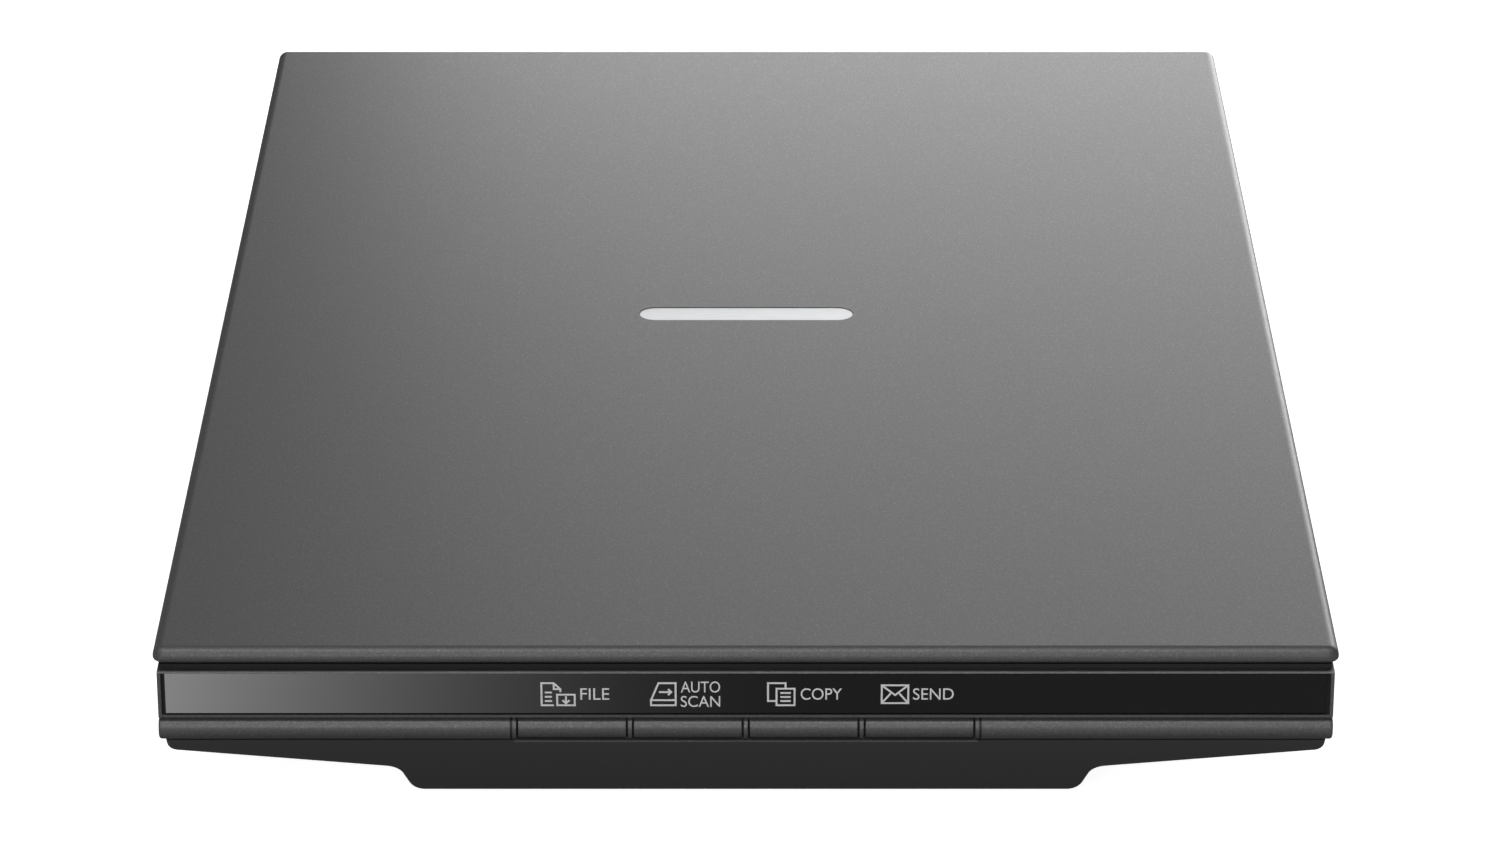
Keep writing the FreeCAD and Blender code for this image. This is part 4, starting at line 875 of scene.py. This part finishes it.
def make_plate():
    """The blank rating plate under the keel: a thin metal foil with a rolled edge."""
    mesh = bmesh.new()
    keel = box_corners("base_tray")[0].z
    outer = rounded_outline(PLATE_HALF_X, PLATE_HALF_Y, 2 * MM)
    rings = []
    for shrink, drop in ((0, 0), (0.05, 0.16), (0.9, 0.16), (1.0, 0.10)):
        share_x = 1 - shrink * MM / PLATE_HALF_X
        share_y = 1 - shrink * MM / PLATE_HALF_Y
        rings.append(add_ring(mesh, [
            (point.x * share_x, point.y * share_y + PLATE_Y, keel - drop * MM) for point in outer
        ]))
    for first, second in zip(rings, rings[1:]):
        bridge(mesh, first, second)
    mesh.faces.new(reversed(rings[0]))
    mesh.faces.new(rings[-1])
    bmesh.ops.recalc_face_normals(mesh, faces=mesh.faces)
    plate = mesh_piece("blank_rating_plate", mesh, MATERIALS["badge_metal"], "base")
    smooth(plate)


make_panel_print()
make_page_marks()
make_painted_seam_shadows()
make_plate()


# --------------------------------------------------------------------- studio


# How much the floor glows towards the object, out in the open and in the object's shade.
BOUNCE = 0.29
SHADE = 0.07

# How bright the world is, and the strip's card at its bright end.
WORLD = 0.05
CARD = 7.0

# Name, place, aim, size and watts.
LIGHTS = (
    ("rear_soft", (0.20, 0.72, 0.15), (0.03, 0.1, 0.04), (0.7, 0.26), 3.7),
    ("rear_right_soft", (0.50, 0.62, 0.20), (0.08, 0.1, 0.04), (0.4, 0.4), 1.1),
    ("top_soft", (-0.1, -0.7, 1.9), (0, -0.1, 0.04), (1.6, 0.9), 20.5),
    ("front_soft", (-0.3, -1.9, 0.75), (0, -0.1, 0.04), (1.2, 0.5), 10.2),
)


def area_light(name, place_at, aim, size, power):
    """A soft rectangular light that faces a point."""
    lamp = bpy.data.lights.new(name, "AREA")
    lamp.shape = "RECTANGLE"
    lamp.size, lamp.size_y = size
    lamp.energy = power
    item = bpy.data.objects.new(name, lamp)
    item.location = place_at
    item.rotation_euler = (Vector(aim) - Vector(place_at)).to_track_quat("-Z", "Y").to_euler()
    bpy.context.scene.collection.objects.link(item)
    item.visible_camera = False


def stage_plane(name, low, high, height, material):
    """A flat sheet of the studio, level with the floor."""
    mesh = bmesh.new()
    corners = [(low[0], low[1]), (high[0], low[1]), (high[0], high[1]), (low[0], high[1])]
    mesh.faces.new([mesh.verts.new((x, y, height)) for x, y in corners])
    data = bpy.data.meshes.new(name)
    mesh.to_mesh(data)
    mesh.free()
    sheet = bpy.data.objects.new(name, data)
    bpy.context.scene.collection.objects.link(sheet)
    data.materials.append(material)
    return sheet


def glowing(name, colour, low, high, size):
    """Pale paper that also glows a little, unevenly, so that it has almost no shadows."""
    material, tree, shader = new_material(name)
    paper = noise(tree, place(tree), size, 2.0)
    tree.links.new(blend_colours(tree, paper, scaled(colour, 0.98), colour), shader.inputs["Base Color"])
    set_shader(shader, Roughness=0.95, Specular_IOR_Level=0.0, Emission_Color=(1, 1, 1, 1))
    tree.links.new(spread(tree, paper, low, high), shader.inputs["Emission Strength"])
    return material


def see_through_from_below(material):
    """Keep the sheet's upper side, and make its underside clear for views from below."""
    tree = material.node_tree
    output = next(node for node in tree.nodes if node.type == "OUTPUT_MATERIAL")
    paper = output.inputs["Surface"].links[0].from_socket
    side = add(tree, "ShaderNodeNewGeometry")
    clear = add(tree, "ShaderNodeBsdfTransparent")
    mix = add(tree, "ShaderNodeMixShader")
    tree.links.new(side.outputs["Backfacing"], mix.inputs[0])
    tree.links.new(paper, mix.inputs[1])
    tree.links.new(clear.outputs[0], mix.inputs[2])
    tree.links.new(mix.outputs[0], output.inputs["Surface"])


def make_floor():
    """A pale floor for the camera, and a dimmer one that lights the object, darkest in its shade."""
    far = 30
    pale = stage_plane(
        "floor", (-far, -far), (far, far), FLOOR_Z,
        glowing("floor", (0.9, 0.9, 0.9), 0.86, 0.90, 0.5),
    )
    see_through_from_below(pale.data.materials[0])
    pale.visible_diffuse = False
    pale.visible_glossy = False
    pale.visible_transmission = False
    dim = stage_plane(
        "floor_bounce", (-far, -far), (far, far), FLOOR_Z - 0.5 * MM,
        glowing("floor_bounce", (0.02, 0.02, 0.02), BOUNCE * 0.98, BOUNCE * 1.02, 0.5),
    )
    shade = stage_plane(
        "floor_shade", (-0.135, -0.225), (0.135, 0.19), FLOOR_Z - 0.3 * MM,
        glowing("floor_shade", (0.02, 0.02, 0.02), SHADE * 0.98, SHADE * 1.02, 0.5),
    )
    for sheet in (dim, shade):
        sheet.visible_camera = False
        sheet.visible_shadow = False


def make_backdrop():
    """A pale dome that only the camera sees, so that low views have no horizon."""
    mesh = bmesh.new()
    bmesh.ops.create_uvsphere(mesh, u_segments=48, v_segments=24, radius=9)
    bmesh.ops.reverse_faces(mesh, faces=mesh.faces)
    data = bpy.data.meshes.new("backdrop")
    mesh.to_mesh(data)
    mesh.free()
    dome = bpy.data.objects.new("backdrop", data)
    bpy.context.scene.collection.objects.link(dome)
    data.materials.append(glowing("backdrop", (0.9, 0.9, 0.9), 0.94, 0.98, 3.0))
    for ray in ("diffuse", "glossy", "transmission", "volume_scatter", "shadow"):
        setattr(dome, "visible_" + ray, False)


def make_world():
    """Even pale light from all round."""
    world = bpy.data.worlds.new("studio")
    world.use_nodes = True
    background = world.node_tree.nodes["Background"]
    background.inputs["Color"].default_value = (1, 1, 1, 1)
    background.inputs["Strength"].default_value = WORLD
    bpy.context.scene.world = world


def make_strip_card():
    """A card on the floor at the front left, fading to the right, that only the glossy strip mirrors."""
    material, tree, shader = new_material("card")
    coordinates = add(tree, "ShaderNodeTexCoord")
    split = add(tree, "ShaderNodeSeparateXYZ")
    tree.links.new(coordinates.outputs["Object"], split.inputs["Vector"])
    share = spread(tree, split.outputs["X"], 1.0, 0.0, -0.128, 0.035)
    curve = add(tree, "ShaderNodeMath", operation="POWER")
    curve.inputs[1].default_value = 2.9
    tree.links.new(share, curve.inputs[0])
    strength = add(tree, "ShaderNodeMath", operation="MULTIPLY_ADD")
    strength.inputs[1].default_value = CARD
    strength.inputs[2].default_value = BOUNCE
    tree.links.new(curve.outputs[0], strength.inputs[0])
    set_shader(shader, Base_Color=(0, 0, 0, 1), Specular_IOR_Level=0.0, Emission_Color=(1, 1, 1, 1))
    tree.links.new(strength.outputs[0], shader.inputs["Emission Strength"])
    card = stage_plane("strip_card", (-0.4, -0.275), (0.05, -0.225), FLOOR_Z + 1 * MM, material)
    card.visible_camera = False
    card.visible_diffuse = False
    card.visible_transmission = False
    card.visible_shadow = False
    listed = bpy.data.collections.new("strip_only")
    listed.objects.link(frame["nodes"]["gloss_panel"])
    card.light_linking.receiver_collection = listed


# The camera stands off the front edge of the lid's flat top. Its focal length is in millimetres.
LID_NOSE = 2.2 * MM
CAMERA_ASIDE = 0.9 * MM
CAMERA_BACK = 1.108
CAMERA_UP = 0.5382
CAMERA_DOWN_DEGREES = 23.72
FOCAL_LENGTH = 140.32


def make_camera():
    """A long lens in front of the scanner, above its lid and tilted down."""
    lens_data = bpy.data.cameras.new("camera")
    lens_data.sensor_width = 36.0
    lens_data.lens = FOCAL_LENGTH
    lens_data.clip_end = 100.0
    camera = bpy.data.objects.new("camera", lens_data)
    camera.location = (CAMERA_ASIDE, LID_LOW.y + LID_NOSE - CAMERA_BACK, LID_HIGH.z + CAMERA_UP)
    camera.rotation_euler = (math.radians(90 - CAMERA_DOWN_DEGREES), 0, 0)
    bpy.context.scene.collection.objects.link(camera)
    bpy.context.scene.camera = camera


make_floor()
make_backdrop()
make_world()
make_strip_card()
make_camera()
for light in LIGHTS:
    area_light(*light)

bpy.context.scene.view_settings.view_transform = "Standard"
